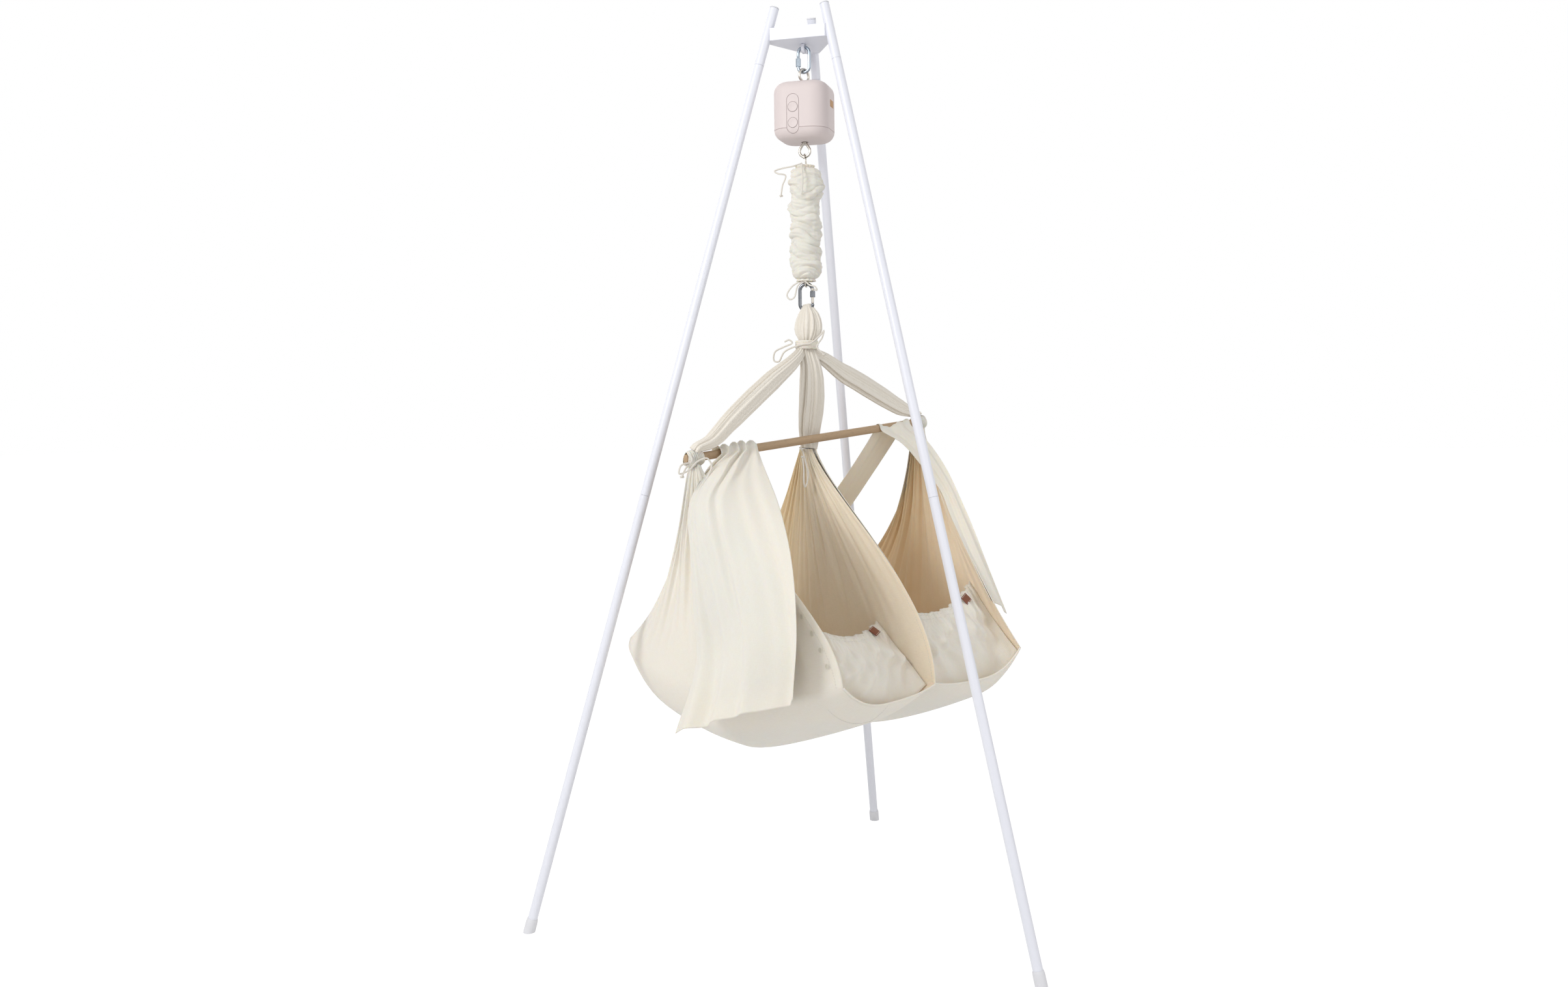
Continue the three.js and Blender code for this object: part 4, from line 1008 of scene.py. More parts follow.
def wall_point(side, outer, u, t):
    near_edge = near_end(u, 0.75)
    top_x = ARM_X if outer else 0.012 - 0.008 * near_edge
    top_z = bar_z(side * top_x) - 0.014 if outer else BAR_Z - 0.0248
    top_y = (0.0 if outer else 0.024) - (0.022 if outer else 0.020) * u
    bottom_x = outer_edge_x(u) if outer else inner_edge_x(u)
    bottom_z = outer_edge_z(u) if outer else inner_edge_z(u)
    straight = t ** 1.5
    convex = straight if outer and side > 0 else np.sin(np.pi * t / 2) ** 1.25
    concave = t ** (2.2 if outer else 1.1)
    share = np.where(u > 0, mix(t, convex, np.abs(u)), mix(t, concave, np.abs(u)))
    y = mix(top_y, base_y(u) - foot_reach(side, outer, u), share)
    fold = wall_folds(u, t) * (1.0 if outer else 1 - 0.92 * near_edge)
    bow = 0.010 * np.sin(np.pi * t) if outer else 0.0
    x = mix(top_x, bottom_x, t) + bow + (fold if outer else np.abs(fold) * 0.9)
    return side * x, y, mix(top_z, bottom_z, t)


def cradle_points(side, rows=168, wall=46, base=30):
    u = np.linspace(-1, 1, rows + 1)[:, None]
    down = np.linspace(0, 1, wall + 1)[None, :-1]
    across = np.linspace(-1, 1, base + 1)[None, :]
    up = np.linspace(1, 0, wall + 1)[None, 1:]
    blocks = [hung(*wall_point(side, True, u, down)), hung(*base_point(side, u, across))]
    blocks.append(hung(*wall_point(side, False, u, up)))
    return np.concatenate(blocks, axis=1)


def wall_line(side, outer, u, heights, inset=0.0, forward=0.0):
    """Points of a wall along one of its lines at the given heights."""
    high = wall_point(side, outer, u, 0.0)[2]
    low = wall_point(side, outer, u, 1.0)[2]
    t = (high - np.asarray(heights, float)) / (high - low)
    x, y, z = wall_point(side, outer, u + 0 * t, t)
    return x - side * (inset if outer else -inset), y - forward, z


def pocket_points(side, rows=34, columns=120):
    tops = (0.748, 0.712) if side < 0 else (0.764, 0.738)
    set_back = (-0.05, 0.27) if side < 0 else (0.22, -0.04)
    lift = 0.0026 if side < 0 else 0.001
    i = np.linspace(0, 1, rows + 1)
    j = np.linspace(0, 1, columns + 1)
    ends = []
    for k, outer in enumerate((True, False)):
        low = outer_edge_z(POCKET_U) if outer else inner_edge_z(POCKET_U)
        heights = mix(low + lift, tops[k], i)
        inset = (0.005 if side < 0 else 0.0027) if outer else 0.0032
        x, y, z = wall_line(side, outer, POCKET_U - set_back[k] * i**0.8, heights, inset, -0.002)
        ends.append(np.stack([x, y, z], axis=1))
    p = mix(ends[0][:, None], ends[1][:, None], j[None, :, None])
    i, j = i[:, None], j[None, :]
    base = base_point(side, POCKET_U, mix(-0.98, 0.98, j))[2]
    dip = base - mix(base[:, :1], base[:, -1:], j)
    middle = 4 * j * (1 - j)
    x, y, z = p[..., 0], p[..., 1], p[..., 2]
    z = z + dip * (1 - i) ** 2 - 0.024 * i * middle
    y = y - 0.020 * np.sin(np.pi * i / 1.3) * middle
    return hung(x, y - pocket_relief(i, j), z)


def pocket_relief(i, j):
    """How far a pocket's gathers and puffs stand out, from its foot to its elastic edge."""
    edge = clamp01(j * 14) * clamp01((1 - j) * 14)
    ruffle = np.sin(FULL_TURN * (25 * j + 0.35 * np.sin(7 * j) + 0.2 * np.sin(15 * j)))
    gathers = 0.0034 * ruffle * clamp01((i - 0.55) / 0.38) * (0.7 + 0.3 * np.sin(9 * j + 1))
    wide_gathers = 0.0052 * np.sin(FULL_TURN * (8 * j + 0.3 * np.sin(5 * j))) * clamp01((i - 0.2) / 0.8)
    drag = np.sin(FULL_TURN * (1.9 * j + 1.3 * i + 0.25 * np.sin(5 * i + 3 * j)))
    second = np.sin(FULL_TURN * (4.3 * j - 1.7 * i + 0.3 * np.sin(6 * i)))
    puffs = (0.0094 * drag + 0.0064 * second) * np.sin(np.pi * i) ** 0.8
    return edge * (gathers + wide_gathers + puffs + 0.006 * np.sin(np.pi * i))


def over_bar(x):
    """Points over the bar, from behind it to in front of it."""
    drop = [(0.0114, -0.010), (0.011, -0.002), (0.0068, 0.0092)]
    drop += [(0, 0.0122), (-0.0068, 0.0092), (-0.011, -0.002)]
    return [hung(x, y, bar_z(x) + z) for y, z in drop]


def evenly(line, shares):
    """Points of a line at the given shares of its length."""
    own = np.linspace(0, 1, len(line))
    return np.stack([np.interp(shares, own, line[:, k]) for k in range(3)], 1)


def laid_points(first, second, folds, depths, rows, columns, seed, belly=0.0):
    """A cloth that passes over the bar between two side edges. Its folds start at the bar and open out."""
    one = smooth_line(first, 0.002)
    two = smooth_line(second, 0.002)
    i = np.linspace(0, 1, rows + 1)
    a, b = evenly(one, i), evenly(two, i)
    away = np.cross(b - a, np.gradient(a, axis=0))
    away /= np.linalg.norm(away, axis=1)[:, None]
    if away[np.argmax(a[:, 2]), 2] < 0:
        away = -away
    j = np.linspace(0, 1, columns + 1)[None, :]
    i = i[:, None]
    height = 0 * i * j
    chance = np.random.default_rng(seed)
    for across, size in FOLD_WAVES:
        drift, start, fade, place = chance.uniform((-0.35, 0, 0.6, 0), (0.35, 6.28, 1.5, 6.28))
        wave = np.cos(FULL_TURN * (folds / 5 * across * j + drift * i) + start)
        height = height + size * wave * (0.6 + 0.4 * np.sin(fade * 4 * i + place))
    pinch = (0.5 + 0.5 * np.cos(FULL_TURN * (folds * 0.9 * j + 0.09 * np.sin(11 * j)))) ** 1.4
    depth = mix(depths[0], depths[1], clamp01(i * 1.5))
    height = depth * (height * clamp01(i / 0.2) + 1.3 * pinch * np.exp(-((i / 0.22) ** 2)))
    fall = clamp01((i - 0.02) / 0.30)
    below_bar = fall**2 * (3 - 2 * fall) * (1 - 0.85 * clamp01((i - 0.42) / 0.52))
    bulge = belly * below_bar * np.sin(np.pi * j) ** 0.85
    surface = mix(a[:, None], b[:, None], j[..., None]) + away[:, None] * height[..., None]
    return surface + away[rows * 6 // 10] * bulge[..., None]


def gathered(name, line, sizes, side, pleats, depth, steps, around, twist, seed=0.0):
    """A bundle of gathered cloth along a line. sizes are its half width and half depth at even steps."""
    path = smooth_line(line, line_length(line) / steps)
    share = np.linspace(0, 1, len(path))
    sizes = np.asarray(sizes, float) / MM
    wide, deep = (np.interp(share, np.linspace(0, 1, len(sizes)), sizes[:, k]) for k in range(2))
    aims = np.gradient(path, axis=0)
    aims /= np.linalg.norm(aims, axis=1)[:, None]
    across = np.asarray(side, float)[None, :] - aims * (aims @ np.asarray(side, float))[:, None]
    across /= np.linalg.norm(across, axis=1)[:, None]
    out = np.cross(aims, across)
    a = round_angles(around)[None, :]
    t = share[:, None]
    chance = np.random.default_rng(int(seed * 10) + pleats)
    folds = 0 * a * t
    for share_of, size in PLEAT_WAVES:
        start, drift, lean = chance.uniform((0, -0.8, -0.5), (6.28, 0.8, 0.5))
        order = max(2, round(pleats * share_of))
        sway = twist * lean * t * 3 + drift * np.sin(3 * t + start)
        folds = folds + size * np.cos(order * a + start + sway)
    folds = np.tanh(folds * 0.9)
    k = 1 - depth * (0.5 - 0.5 * folds)
    k = k / k.max()
    rings = path[:, None] + across[:, None] * (wide[:, None] * k * np.cos(a))[..., None]
    rings = rings + out[:, None] * (deep[:, None] * k * np.sin(a))[..., None]
    return skinned(name, rings, "bundle")


# The stage


class StageBuilder(bpy.types.Operator):
    """Makes the camera, the lamps, the surroundings and the floor"""

    bl_idname = "hammock.stage"
    bl_label = "Stage"

    def execute(self, context):
        self.camera(context)
        self.lamps()
        self.surroundings(context)
        self.floor()
        return {"FINISHED"}

    def camera(self, context):
        azimuth, down, roll = math.radians(15.783), math.radians(3.403), math.radians(-0.597)
        distance, height = 3.1216, 1.1773
        level_back = Vector((math.sin(azimuth), -math.cos(azimuth), 0))
        back = level_back * math.cos(down) + Vector((0, 0, math.sin(down)))
        right = Vector((0, 0, 1)).cross(back).normalized()
        up = back.cross(right)
        level = right * math.cos(roll) + up * math.sin(roll)
        upright = up * math.cos(roll) - right * math.sin(roll)
        place = level_back * distance + Vector((0, AXIS_Y, height))
        data = bpy.data.cameras.new("camera")
        data.lens = 30.187
        data.sensor_width = 36
        data.shift_x = -0.01552
        data.clip_start = 0.05
        camera = new_object("camera", data)
        turn = Matrix((level, upright, back)).transposed().to_4x4()
        camera.matrix_world = Matrix.Translation(place) @ turn
        context.scene.camera = camera
        context.scene.view_settings.view_transform = "Standard"

    def lamps(self):
        stage = settings("stage")
        for name, power, size, place in (
            ("key_lamp", stage.key_power, 1.4, (-1.9, -3.5, 3.2)),
            ("fill_lamp", stage.fill_power, 2.6, (3.4, -1.6, 2.2)),
            ("back_lamp", stage.fill_power, 2.2, (-1.2, 3.0, 3.2)),
        ):
            data = bpy.data.lights.new(name, "AREA")
            data.energy = power
            data.size = size
            lamp = new_object(name, data)
            aim = Vector((0, AXIS_Y, 1.0)) - Vector(place)
            turn = aim.to_track_quat("-Z", "Y").to_matrix().to_4x4()
            lamp.matrix_world = Matrix.Translation(place) @ turn

    def surroundings(self, context):
        world = bpy.data.worlds.new("surroundings")
        world.use_nodes = True
        tree = world.node_tree
        tree.nodes.clear()
        path = tree.nodes.new("ShaderNodeLightPath")
        seen = Wire(tree, path.outputs["Is Camera Ray"]) + Wire(tree, path.outputs["Is Glossy Ray"])
        seen = seen + Wire(tree, path.outputs["Is Transmission Ray"])
        lit = tree.nodes.new("ShaderNodeBackground")
        lit.inputs["Strength"].default_value = settings("stage").ambient
        white = tree.nodes.new("ShaderNodeBackground")
        for node in (lit, white):
            node.inputs["Color"].default_value = (1, 1, 1, 1)
        both = tree.nodes.new("ShaderNodeMixShader")
        feed(tree, both.inputs[0], seen)
        feed(tree, both.inputs[1], Wire(tree, lit.outputs[0]))
        feed(tree, both.inputs[2], Wire(tree, white.outputs[0]))
        out = tree.nodes.new("ShaderNodeOutputWorld")
        feed(tree, out.inputs[0], Wire(tree, both.outputs[0]))
        context.scene.world = world

    def floor(self):
        reach, depth = 40.0, -0.0004
        corners = [(x * reach, y * reach, depth) for x, y in ((-1, -1), (1, -1), (1, 1), (-1, 1))]
        mesh = bpy.data.meshes.new("floor")
        mesh.from_pydata(corners, [], [(0, 1, 2, 3)])
        floor = new_object("floor", mesh)
        surface = Finish("floor_paper", Roughness=0.9, Specular_IOR_Level=0.1)
        colour = set_colour("stage", "floor")
        surface.use("Base Color", surface.mix(surface.noise(0.6), shade(colour, 0.99), colour))
        tree = surface.tree
        glow = tree.nodes.new("ShaderNodeEmission")
        glow.inputs["Strength"].default_value = 1.2
        path = tree.nodes.new("ShaderNodeLightPath")
        both = tree.nodes.new("ShaderNodeMixShader")
        feed(tree, both.inputs[0], Wire(tree, path.outputs["Is Camera Ray"]) * 0.72)
        feed(tree, both.inputs[1], Wire(tree, surface.shader.outputs[0]))
        feed(tree, both.inputs[2], Wire(tree, glow.outputs[0]))
        out = next(n for n in tree.nodes if n.type == "OUTPUT_MATERIAL")
        feed(tree, out.inputs[0], Wire(tree, both.outputs[0]))
        mesh.materials.append(surface.material)


# The cords

# Each cord has its radius, its body, the end that leaves the cloth and its route in millimetres

CORDS = {
    "cover_cord_top": (0.0018, "suspension", -1, axis_at(
        (-52, -24, 1690), (-48, -26, 1712), (-40, -26, 1736), (-58, -30, 1741),
        (-66, -28, 1747), (-50, -24, 1753), (-24, -22, 1757), (-8, -15, 1762.3),
        (1, -31, 1760), (5, -42, 1746), (7, -46, 1720), (5, -47, 1688),
    )),
    "cover_cord_bottom": (0.0018, "carabiner", 0, axis_at(
        (-12, -26, 1488), (-26, -30, 1478), (-38, -32, 1458), (-30, -34, 1448),
        (-20, -34, 1452), (-13, -27, 1479), (-3, -17.9, 1489.9), (3, -17.9, 1489.9),
        (15, -27, 1481), (30, -30, 1476), (34, -28, 1468), (24, -28, 1470),
    )),
    "wrap_cord": (0.002, "hammock", 0, axis_at(
        (-44, -34, 1350), (-34, -32, 1354), (-27, -30, 1347), (-46, -34, 1338),
        (-68, -36, 1326), (-70, -36, 1306), (-58, -38, 1304), (-44, -38, 1326),
        (-16, -27, 1340), (0, -29.7, 1343), (16, -27, 1345), (44, -30, 1366),
        (50, -30, 1374), (46, -30, 1358), (34, -33, 1336), (50, -30, 1318),
    )),
    "tie_left": (0.002, "hammock", -1, hung_at(
        (-415, -30, 1048), (-409, -34, 1064), (-389, -32, 1082), (-379, -10.7, 1091),
        (-380, -10.7, 1080), (-395, -32, 1078), (-425, -40, 1072), (-431, -42, 1056),
        (-405, -42, 1062), (-377, -36, 1080), (-353, -40, 1086), (-345, -44, 1070),
        (-355, -46, 1050), (-363, -46, 1036),
    )),
    "tie_middle": (0.002, "hammock", 0, hung_at(
        (-24, 26, 1101), (-36, 2, 1092), (-44, -18, 1062), (-40, -20, 1040), (-46, -22, 1018),
        (-52, -22, 1010), (-54, -20, 1024), (-50, -16, 1052), (-46, -8, 1080),
    )),
}


class CordBuilder(bpy.types.Operator):
    """Makes the drawstrings and ties with their end knots"""

    bl_idname = "hammock.cords"
    bl_label = "Cords"

    def execute(self, context):
        for name, (radius, body, near, route) in CORDS.items():
            path = smooth_line(route, CORD_STEP)
            piece = placed(tube(name + "_string", path, radius, "cord", 12), body, "cotton", name)
            far = path[0] if near == -1 else path[-1]
            knot = self.knot(name + "_knot", far, radius, body)
            2 * radius
        return {"FINISHED"}

    def knot(self, name, place, radius, body):
        turn = np.linspace(0, FULL_TURN, 72)
        x = np.sin(turn) + 2 * np.sin(2 * turn)
        y = np.cos(turn) - 2 * np.cos(2 * turn)
        loops = np.stack([x, y, -np.sin(3 * turn)], 1) * radius * 0.62
        return placed(tube(name, np.asarray(place) + loops, radius * 0.8, "cord", 10), body, "cotton")


# The stand


class LegBuilder(bpy.types.Operator):
    """Makes the nine leg tubes and their six caps"""

    bl_idname = "hammock.legs"
    bl_label = "Legs"

    def execute(self, context):
        sides = settings("stand").tube_sides
        for side, angle in LEG_ANGLES.items():
            a = math.radians(angle)
            aim = Vector((math.cos(a), math.sin(a), 0))
            foot = aim * FOOT_RADIUS + Vector((0, AXIS_Y, 0))
            top = aim * TOP_RADIUS + Vector((0, AXIS_Y, STAND_HEIGHT))
            length = (top - foot).length
            low, high = LOWER_JOINT * length, UPPER_JOINT * length
            end = length - STUB_CAP_RISE
            spans = {
                "leg_lower_": (FOOT_FLOOR, low - SEAT),
                "leg_upper_": (low, high - SEAT),
                "leg_stub_": (high, end),
            }
            for name, (start, stop) in spans.items():
                profile = self.tube_profile(start, stop)
                piece = turned(name + side + "_tube", profile, foot, top, "enamel", sides)
                placed(piece, "stand", "white_paint", name + side)
            cap = self.cap_profile(end, length)
            plug = turned("stub_cap_" + side + "_plug", cap, foot, top, "caps", sides)
            placed(plug, "stand", "white_plastic", "stub_cap_" + side)
            self.shoe(side, foot, top, sides)
        return {"FINISHED"}

    def tube_profile(self, start, stop):
        inner = TUBE_R - TUBE_WALL
        edge = 0.0005
        return [
            (inner, start),
            (TUBE_R - edge, start),
            (TUBE_R, start + edge),
            (TUBE_R, stop - edge),
            (TUBE_R - edge, stop),
            (inner, stop),
        ]

    def cap_profile(self, end, length):
        """A plug that is pushed into the tube's end, with its rounded rim and its slightly domed top."""
        inner = TUBE_R - TUBE_WALL - SEAT
        plug = [(0, end - 0.012), (inner - 0.001, end - 0.012), (inner, end - 0.011), (inner, end + SEAT)]
        rim = [(TUBE_R, end + SEAT), (TUBE_R, end + 0.002), (TUBE_R - 0.0008, end + 0.0029)]
        return plug + rim + [(TUBE_R - 0.0022, length - 0.0002), (0, length)]

    def shoe(self, side, foot, top, sides):
        """A closed cap round the foot, cut off level with the floor."""
        bore = TUBE_R + SEAT
        profile = [(0, -0.020), (0.0132, -0.020), (0.0132, 0.024), (0.0128, 0.0275), (0.0122, 0.0305)]
        profile += [(0.0118, 0.0318), (bore, 0.032), (bore, FOOT_FLOOR - SEAT), (0, FOOT_FLOOR - SEAT)]
        piece = turned("foot_cap_" + side + "_shoe", profile, foot, top, "caps", sides)
        with opened(piece) as work:
            everything = work.verts[:] + work.edges[:] + work.faces[:]
            floor = {"plane_co": (0, 0, 0), "plane_no": (0, 0, -1)}
            bmesh.ops.bisect_plane(work, geom=everything, clear_outer=True, **floor)
            bmesh.ops.holes_fill(work, edges=[e for e in work.edges if e.is_boundary])
            bmesh.ops.recalc_face_normals(work, faces=work.faces)
        creased(piece, TURNED_CREASE)
        placed(piece, "stand", "white_plastic", "foot_cap_" + side)


class BracketBuilder(bpy.types.Operator):
    """Makes the head bracket and its hook tab"""

    bl_idname = "hammock.bracket"
    bl_label = "Head bracket"

    def execute(self, context):
        tray = dressed_copy("head_bracket_tray", "head_bracket", "enamel", 0.0012, 3)
        placed(tray, "stand", "white_paint")
        tab = dressed_copy("hook_tab_plate", "hook_tab", "enamel", 0.0010, 3)
        placed(tab, "stand", "white_paint")
        return {"FINISHED"}


# The screw link, the motor unit and the spring


class LinkBuilder(bpy.types.Operator):
    """Makes the screw link and its nut"""

    bl_idname = "hammock.link"
    bl_label = "Screw link"

    def execute(self, context):
        top = LINK_TOP - LINK_WIRE
        bottom = LINK_BOTTOM + LINK_WIRE
        w = LINK_HALF_WIDTH
        low, high = LINK_NUT
        path = [on_axis(-w, 0, low + 0.0025)]
        path += list(stand_arc(bottom + w, w, 180, 360, 33))
        path += list(stand_arc(top - w, w, 0, 180, 33))
        path += [on_axis(-w, 0, high - 0.007)]
        body = tube("screw_link_wire", path, LINK_WIRE, "zinc", settings("motor").metal_sides)
        placed(body, "quick_link", "zinc", "quick_link_body")
        placed(dressed_copy("screw_link_nut", "quick_link_nut", "zinc"), "link_nut", "zinc")
        return {"FINISHED"}


def rounded_ring(half_x, half_y, corner, z, steps=14):
    ring = []
    for sx, sy, start in ((1, 1, 0), (-1, 1, 90), (-1, -1, 180), (1, -1, 270)):
        for i in range(steps + 1):
            a = math.radians(start + i * 90 / steps)
            x = sx * (half_x - corner) + corner * math.cos(a)
            y = sy * (half_y - corner) + corner * math.sin(a)
            ring.append(on_axis(x, y, z))
    return ring


def motor_side(inset, start, stop, steps=10):
    """Rings up the side of the motor unit's form between two heights, with its round edges."""
    low, high = MOTOR_BOTTOM + inset, MOTOR_TOP - inset
    edge = MOTOR_EDGE - inset
    levels = []
    for i in range(steps + 1):
        a = math.pi / 2 * i / steps
        levels.append((edge * (1 - math.sin(a)), low + edge * (1 - math.cos(a))))
    for i in range(steps, -1, -1):
        a = math.pi / 2 * i / steps
        levels.append((edge * (1 - math.sin(a)), high - edge * (1 - math.cos(a))))
    drawn = [(d, z) for d, z in levels if start <= z <= stop]
    rings = []
    for bound, where in ((start, 0), (stop, len(drawn))):
        if low < bound < high:
            d = float(np.interp(bound, [z for _, z in levels], [d for d, _ in levels]))
            drawn.insert(where if where == 0 else len(drawn), (d, bound))
    for d, z in drawn:
        pull = inset + d
        rings.append(rounded_ring(MOTOR_HALF[0] - pull, MOTOR_HALF[1] - pull, MOTOR_CORNER - pull, z))
    return rings


def motor_form(name, inset):
    rings = motor_side(inset, MOTOR_BOTTOM + inset, MOTOR_TOP - inset)
    return skinned(name, rings, "shell")


def panel_prism(name, grow):
    r = PANEL_HALF + grow
    low, high = PANEL_SPAN
    outline = []
    for centre, start in ((high - PANEL_HALF, 0), (low + PANEL_HALF, 180)):
        for i in range(25):
            a = math.radians(start + i * 7.5)
            outline.append((PANEL_X + r * math.cos(a), centre + r * math.sin(a)))
    rings = [[on_axis(x, y, z) for x, z in outline] for y in (-0.080, -0.030)]
    return cleaned(skinned(name, rings, "shell"))


def cut(piece, tool, operation):
    change = piece.modifiers.new("cut", "BOOLEAN")
    change.operation = operation
    change.object = tool
    change.solver = "EXACT"
    return settled(piece)


class MotorBuilder(bpy.types.Operator):
    """Makes the motor unit's housing, panel, buttons, eyes and tag, and finishes what is inside it"""

    bl_idname = "hammock.motor"
    bl_label = "Motor unit"

    def execute(self, context):
        self.housing()
        self.buttons()
        self.eyes()
        tag = dressed_copy("side_tag_patch", "side_tag", "brown_tag", 0.0005, 2)
        placed(tag, "motor_unit", "brown_tag")
        for node, look, slot_name in (
            ("motor_frame", "zinc", "zinc"),
            ("gear_motor", "steel", "warm_steel"),
            ("crank_wheel", "black", "black_plastic"),
            ("circuit_board", "board", "green_board"),
            ("battery_pack", "black", "black_plastic"),
        ):
            piece = dressed_copy(node + "_part", node, look, 0.0004, 1)
            placed(piece, frame["nodes"][node]["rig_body"], slot_name)
        return {"FINISHED"}

    def shell(self, name, start, stop, hole, closed_low):
        """One half of the housing: outside, inside, rim at the split and the hole for the eye."""
        floor, ceiling = MOTOR_BOTTOM + MOTOR_WALL, MOTOR_TOP - MOTOR_WALL
        z_out = MOTOR_BOTTOM if closed_low else MOTOR_TOP
        z_in = floor if closed_low else ceiling
        split = stop if closed_low else start
        nudge = -0.0008 if closed_low else 0.0008
        outside = motor_side(0, start, stop)
        inside = motor_side(MOTOR_WALL, max(start, floor), min(stop, ceiling))
        if not closed_low:
            outside, inside = outside[::-1], inside[::-1]
        outside[-1] = rounded_ring(*self.split_size(split + nudge, 0), split + nudge)
        outside.append(rounded_ring(*self.split_size(split, 0.0010), split))
        rings = [rounded_ring(hole, hole, hole, z_out)] + outside + inside[::-1]
        rings.append(rounded_ring(hole, hole, hole, z_in))
        piece = skinned(name, rings, "shell", loop=True)
        return cleaned(piece, 1e-5)

    def split_size(self, z, inset):
        edge = MOTOR_EDGE
        rise = MOTOR_BOTTOM + edge - z
        pull = inset + (edge - math.sqrt(max(edge * edge - rise * rise, 0)) if rise > 0 else 0)
        return MOTOR_HALF[0] - pull, MOTOR_HALF[1] - pull, MOTOR_CORNER - pull

    def housing(self):
        upper = self.shell("housing_upper_shell", MOTOR_SPLIT + SEAT, MOTOR_TOP, 0.0053, False)
        lower = self.shell("housing_lower_shell", MOTOR_BOTTOM, MOTOR_SPLIT, 0.0086, True)
        recess = panel_prism("recess", 0.0009)
        inner_form = motor_form("inner_form", 0.0023)
        cut(recess, inner_form, "DIFFERENCE")
        bores = self.drills("bore", BUTTON_R - 0.002)
        for piece, node in ((upper, "motor_housing_upper"), (lower, "motor_housing_lower")):
            for tool in (recess, *bores):
                cut(piece, tool, "DIFFERENCE")
            smoothed(piece, SHELL_CREASE)
            placed(piece, "motor_unit", "pink_shell", node)
        outer_form = motor_form("outer_form", 0.0)
        panel = cut(panel_prism("control_panel_plate", 0), outer_form, "INTERSECT")
        back_form = motor_form("back_form", 0.0020)
        holes = self.drills("hole", BUTTON_R + 0.0007)
        for tool in (back_form, *holes):
            cut(panel, tool, "DIFFERENCE")
        smoothed(panel, SHELL_CREASE)
        placed(panel, "motor_unit", "pink_shell", "control_panel")
        for tool in (recess, *bores, *holes, inner_form, outer_form, back_form):
            bpy.data.objects.remove(tool)

    def drills(self, name, radius):
        """Two rods that cut the holes for the buttons."""
        rod = chamfered(radius, -0.080, -0.040, 0.0001)
        made = []
        for z in BUTTON_Z.values():
            made.append(turned(name, rod, on_axis(PANEL_X, 0, z), on_axis(PANEL_X, 1, z), "shell"))
        return made

    def buttons(self):
        r = BUTTON_R
        stem = [(0, 0.0500), (r - 0.0024, 0.0500), (r - 0.0024, 0.0591), (r - 0.0003, 0.0592)]
        rim = [(r, 0.0596), (r - 0.0001, 0.0606), (r - 0.0006, 0.0611), (r - 0.0014, 0.0612)]
        dish = [(r * 0.6, 0.0606), (r * 0.3, 0.0603), (0, 0.0602)]
        for name, z in BUTTON_Z.items():
            start, end = on_axis(PANEL_X, 0, z), on_axis(PANEL_X, -1, z)
            piece = turned(name + "_key", stem + rim + dish, start, end, "shell", 64)
            body = "upper_button" if name == "button_upper" else "lower_button"
            placed(piece, body, "pink_shell", name)

    def eyes(self):
        self.eye_bolt(settings("motor").metal_sides)
        self.lift_rod(settings("motor").metal_sides)

    def eye_bolt(self, sides):
        """The bolt in the top of the housing: its eye, its shank and its nut inside."""
        foot, head = on_axis(0, 0, 0), on_axis(0, 0, 1)
        wire, radius, neck_z, shank_r, nut_r, edge = 0.003, 0.015, 1.953, 0.005, 0.009, 0.0006
        middle_z = LINK_BOTTOM + 2 * LINK_WIRE + SEAT + wire - radius
        parts = [tube("upper_loop", self.drop_loop(middle_z, radius, neck_z, 1, 61), wire, "steel", sides)]
        parts.append(turned("shank", chamfered(shank_r, 1.930, 1.956, edge), foot, head, "steel"))
        parts.append(turned("nut", chamfered(nut_r, 1.926, 1.9357, edge), foot, head, "steel", 6))
        placed(joined("motor_eye_bolt", parts), "motor_unit", "warm_steel", "motor_eye")

    def lift_rod(self, sides):
        """The rod that the crank lifts: its eye below the housing and its yoke at the crank's pin."""
        foot, head = on_axis(0, 0, 0), on_axis(0, 0, 1)
        neck_z, rod_low, rod_r, edge = 1.813, 1.811, 0.005, 0.0006
        loop = self.drop_loop(SPRING_EYE_Z, EYE_RADIUS, neck_z, -1, 0)
        pin_z = CRANK_Z + CRANK_THROW * math.sin(CRANK_REST)
        parts = [tube("lower_loop", loop, EYE_WIRE, "steel", sides)]
        rod = chamfered(rod_r, rod_low, pin_z - 0.0102, edge)
        parts.append(turned("rod", rod, foot, head, "steel"))
        parts.append(self.yoke(pin_z))
        placed(joined("lift_rod_eye", parts), "lift", "warm_steel", "lift_rod")

    def yoke(self, pin_z):
        """The plate at the top of the lift rod, with the slot that the crank's pin runs in."""
        rings = []
        plate = ((0.0195, 0.011, -0.0025), (0.0195, 0.011, 0.0025))
        slot = ((0.0070, 0.0036, 0.0025), (0.0070, 0.0036, -0.0025))
        for half_x, half_z, y in (*plate, *slot):
            middle = 0.0105 if half_x > 0.01 else 0.019
            flat = rounded_ring(half_x, half_z, min(half_z, half_x) * 0.6, 0)
            rings.append([(px + middle, y + AXIS_Y, pin_z + py - AXIS_Y) for px, py, _ in flat])
        return cleaned(skinned("yoke", rings, "steel", loop=True))

    def drop_loop(self, z, radius, neck_z, side, turn):
        """A bent eye that hangs from, or stands on, its neck."""
        loop = stand_arc(0, radius, -25, 205, 41, turn)
        loop[:, 2] = z + side * loop[:, 2]
        a = math.radians(turn)
        neck = lambda x: on_axis(x * math.cos(a), x * math.sin(a), neck_z)
        return smooth_line([neck(0.0024), *loop[::4], neck(-0.0024)], 0.0012)


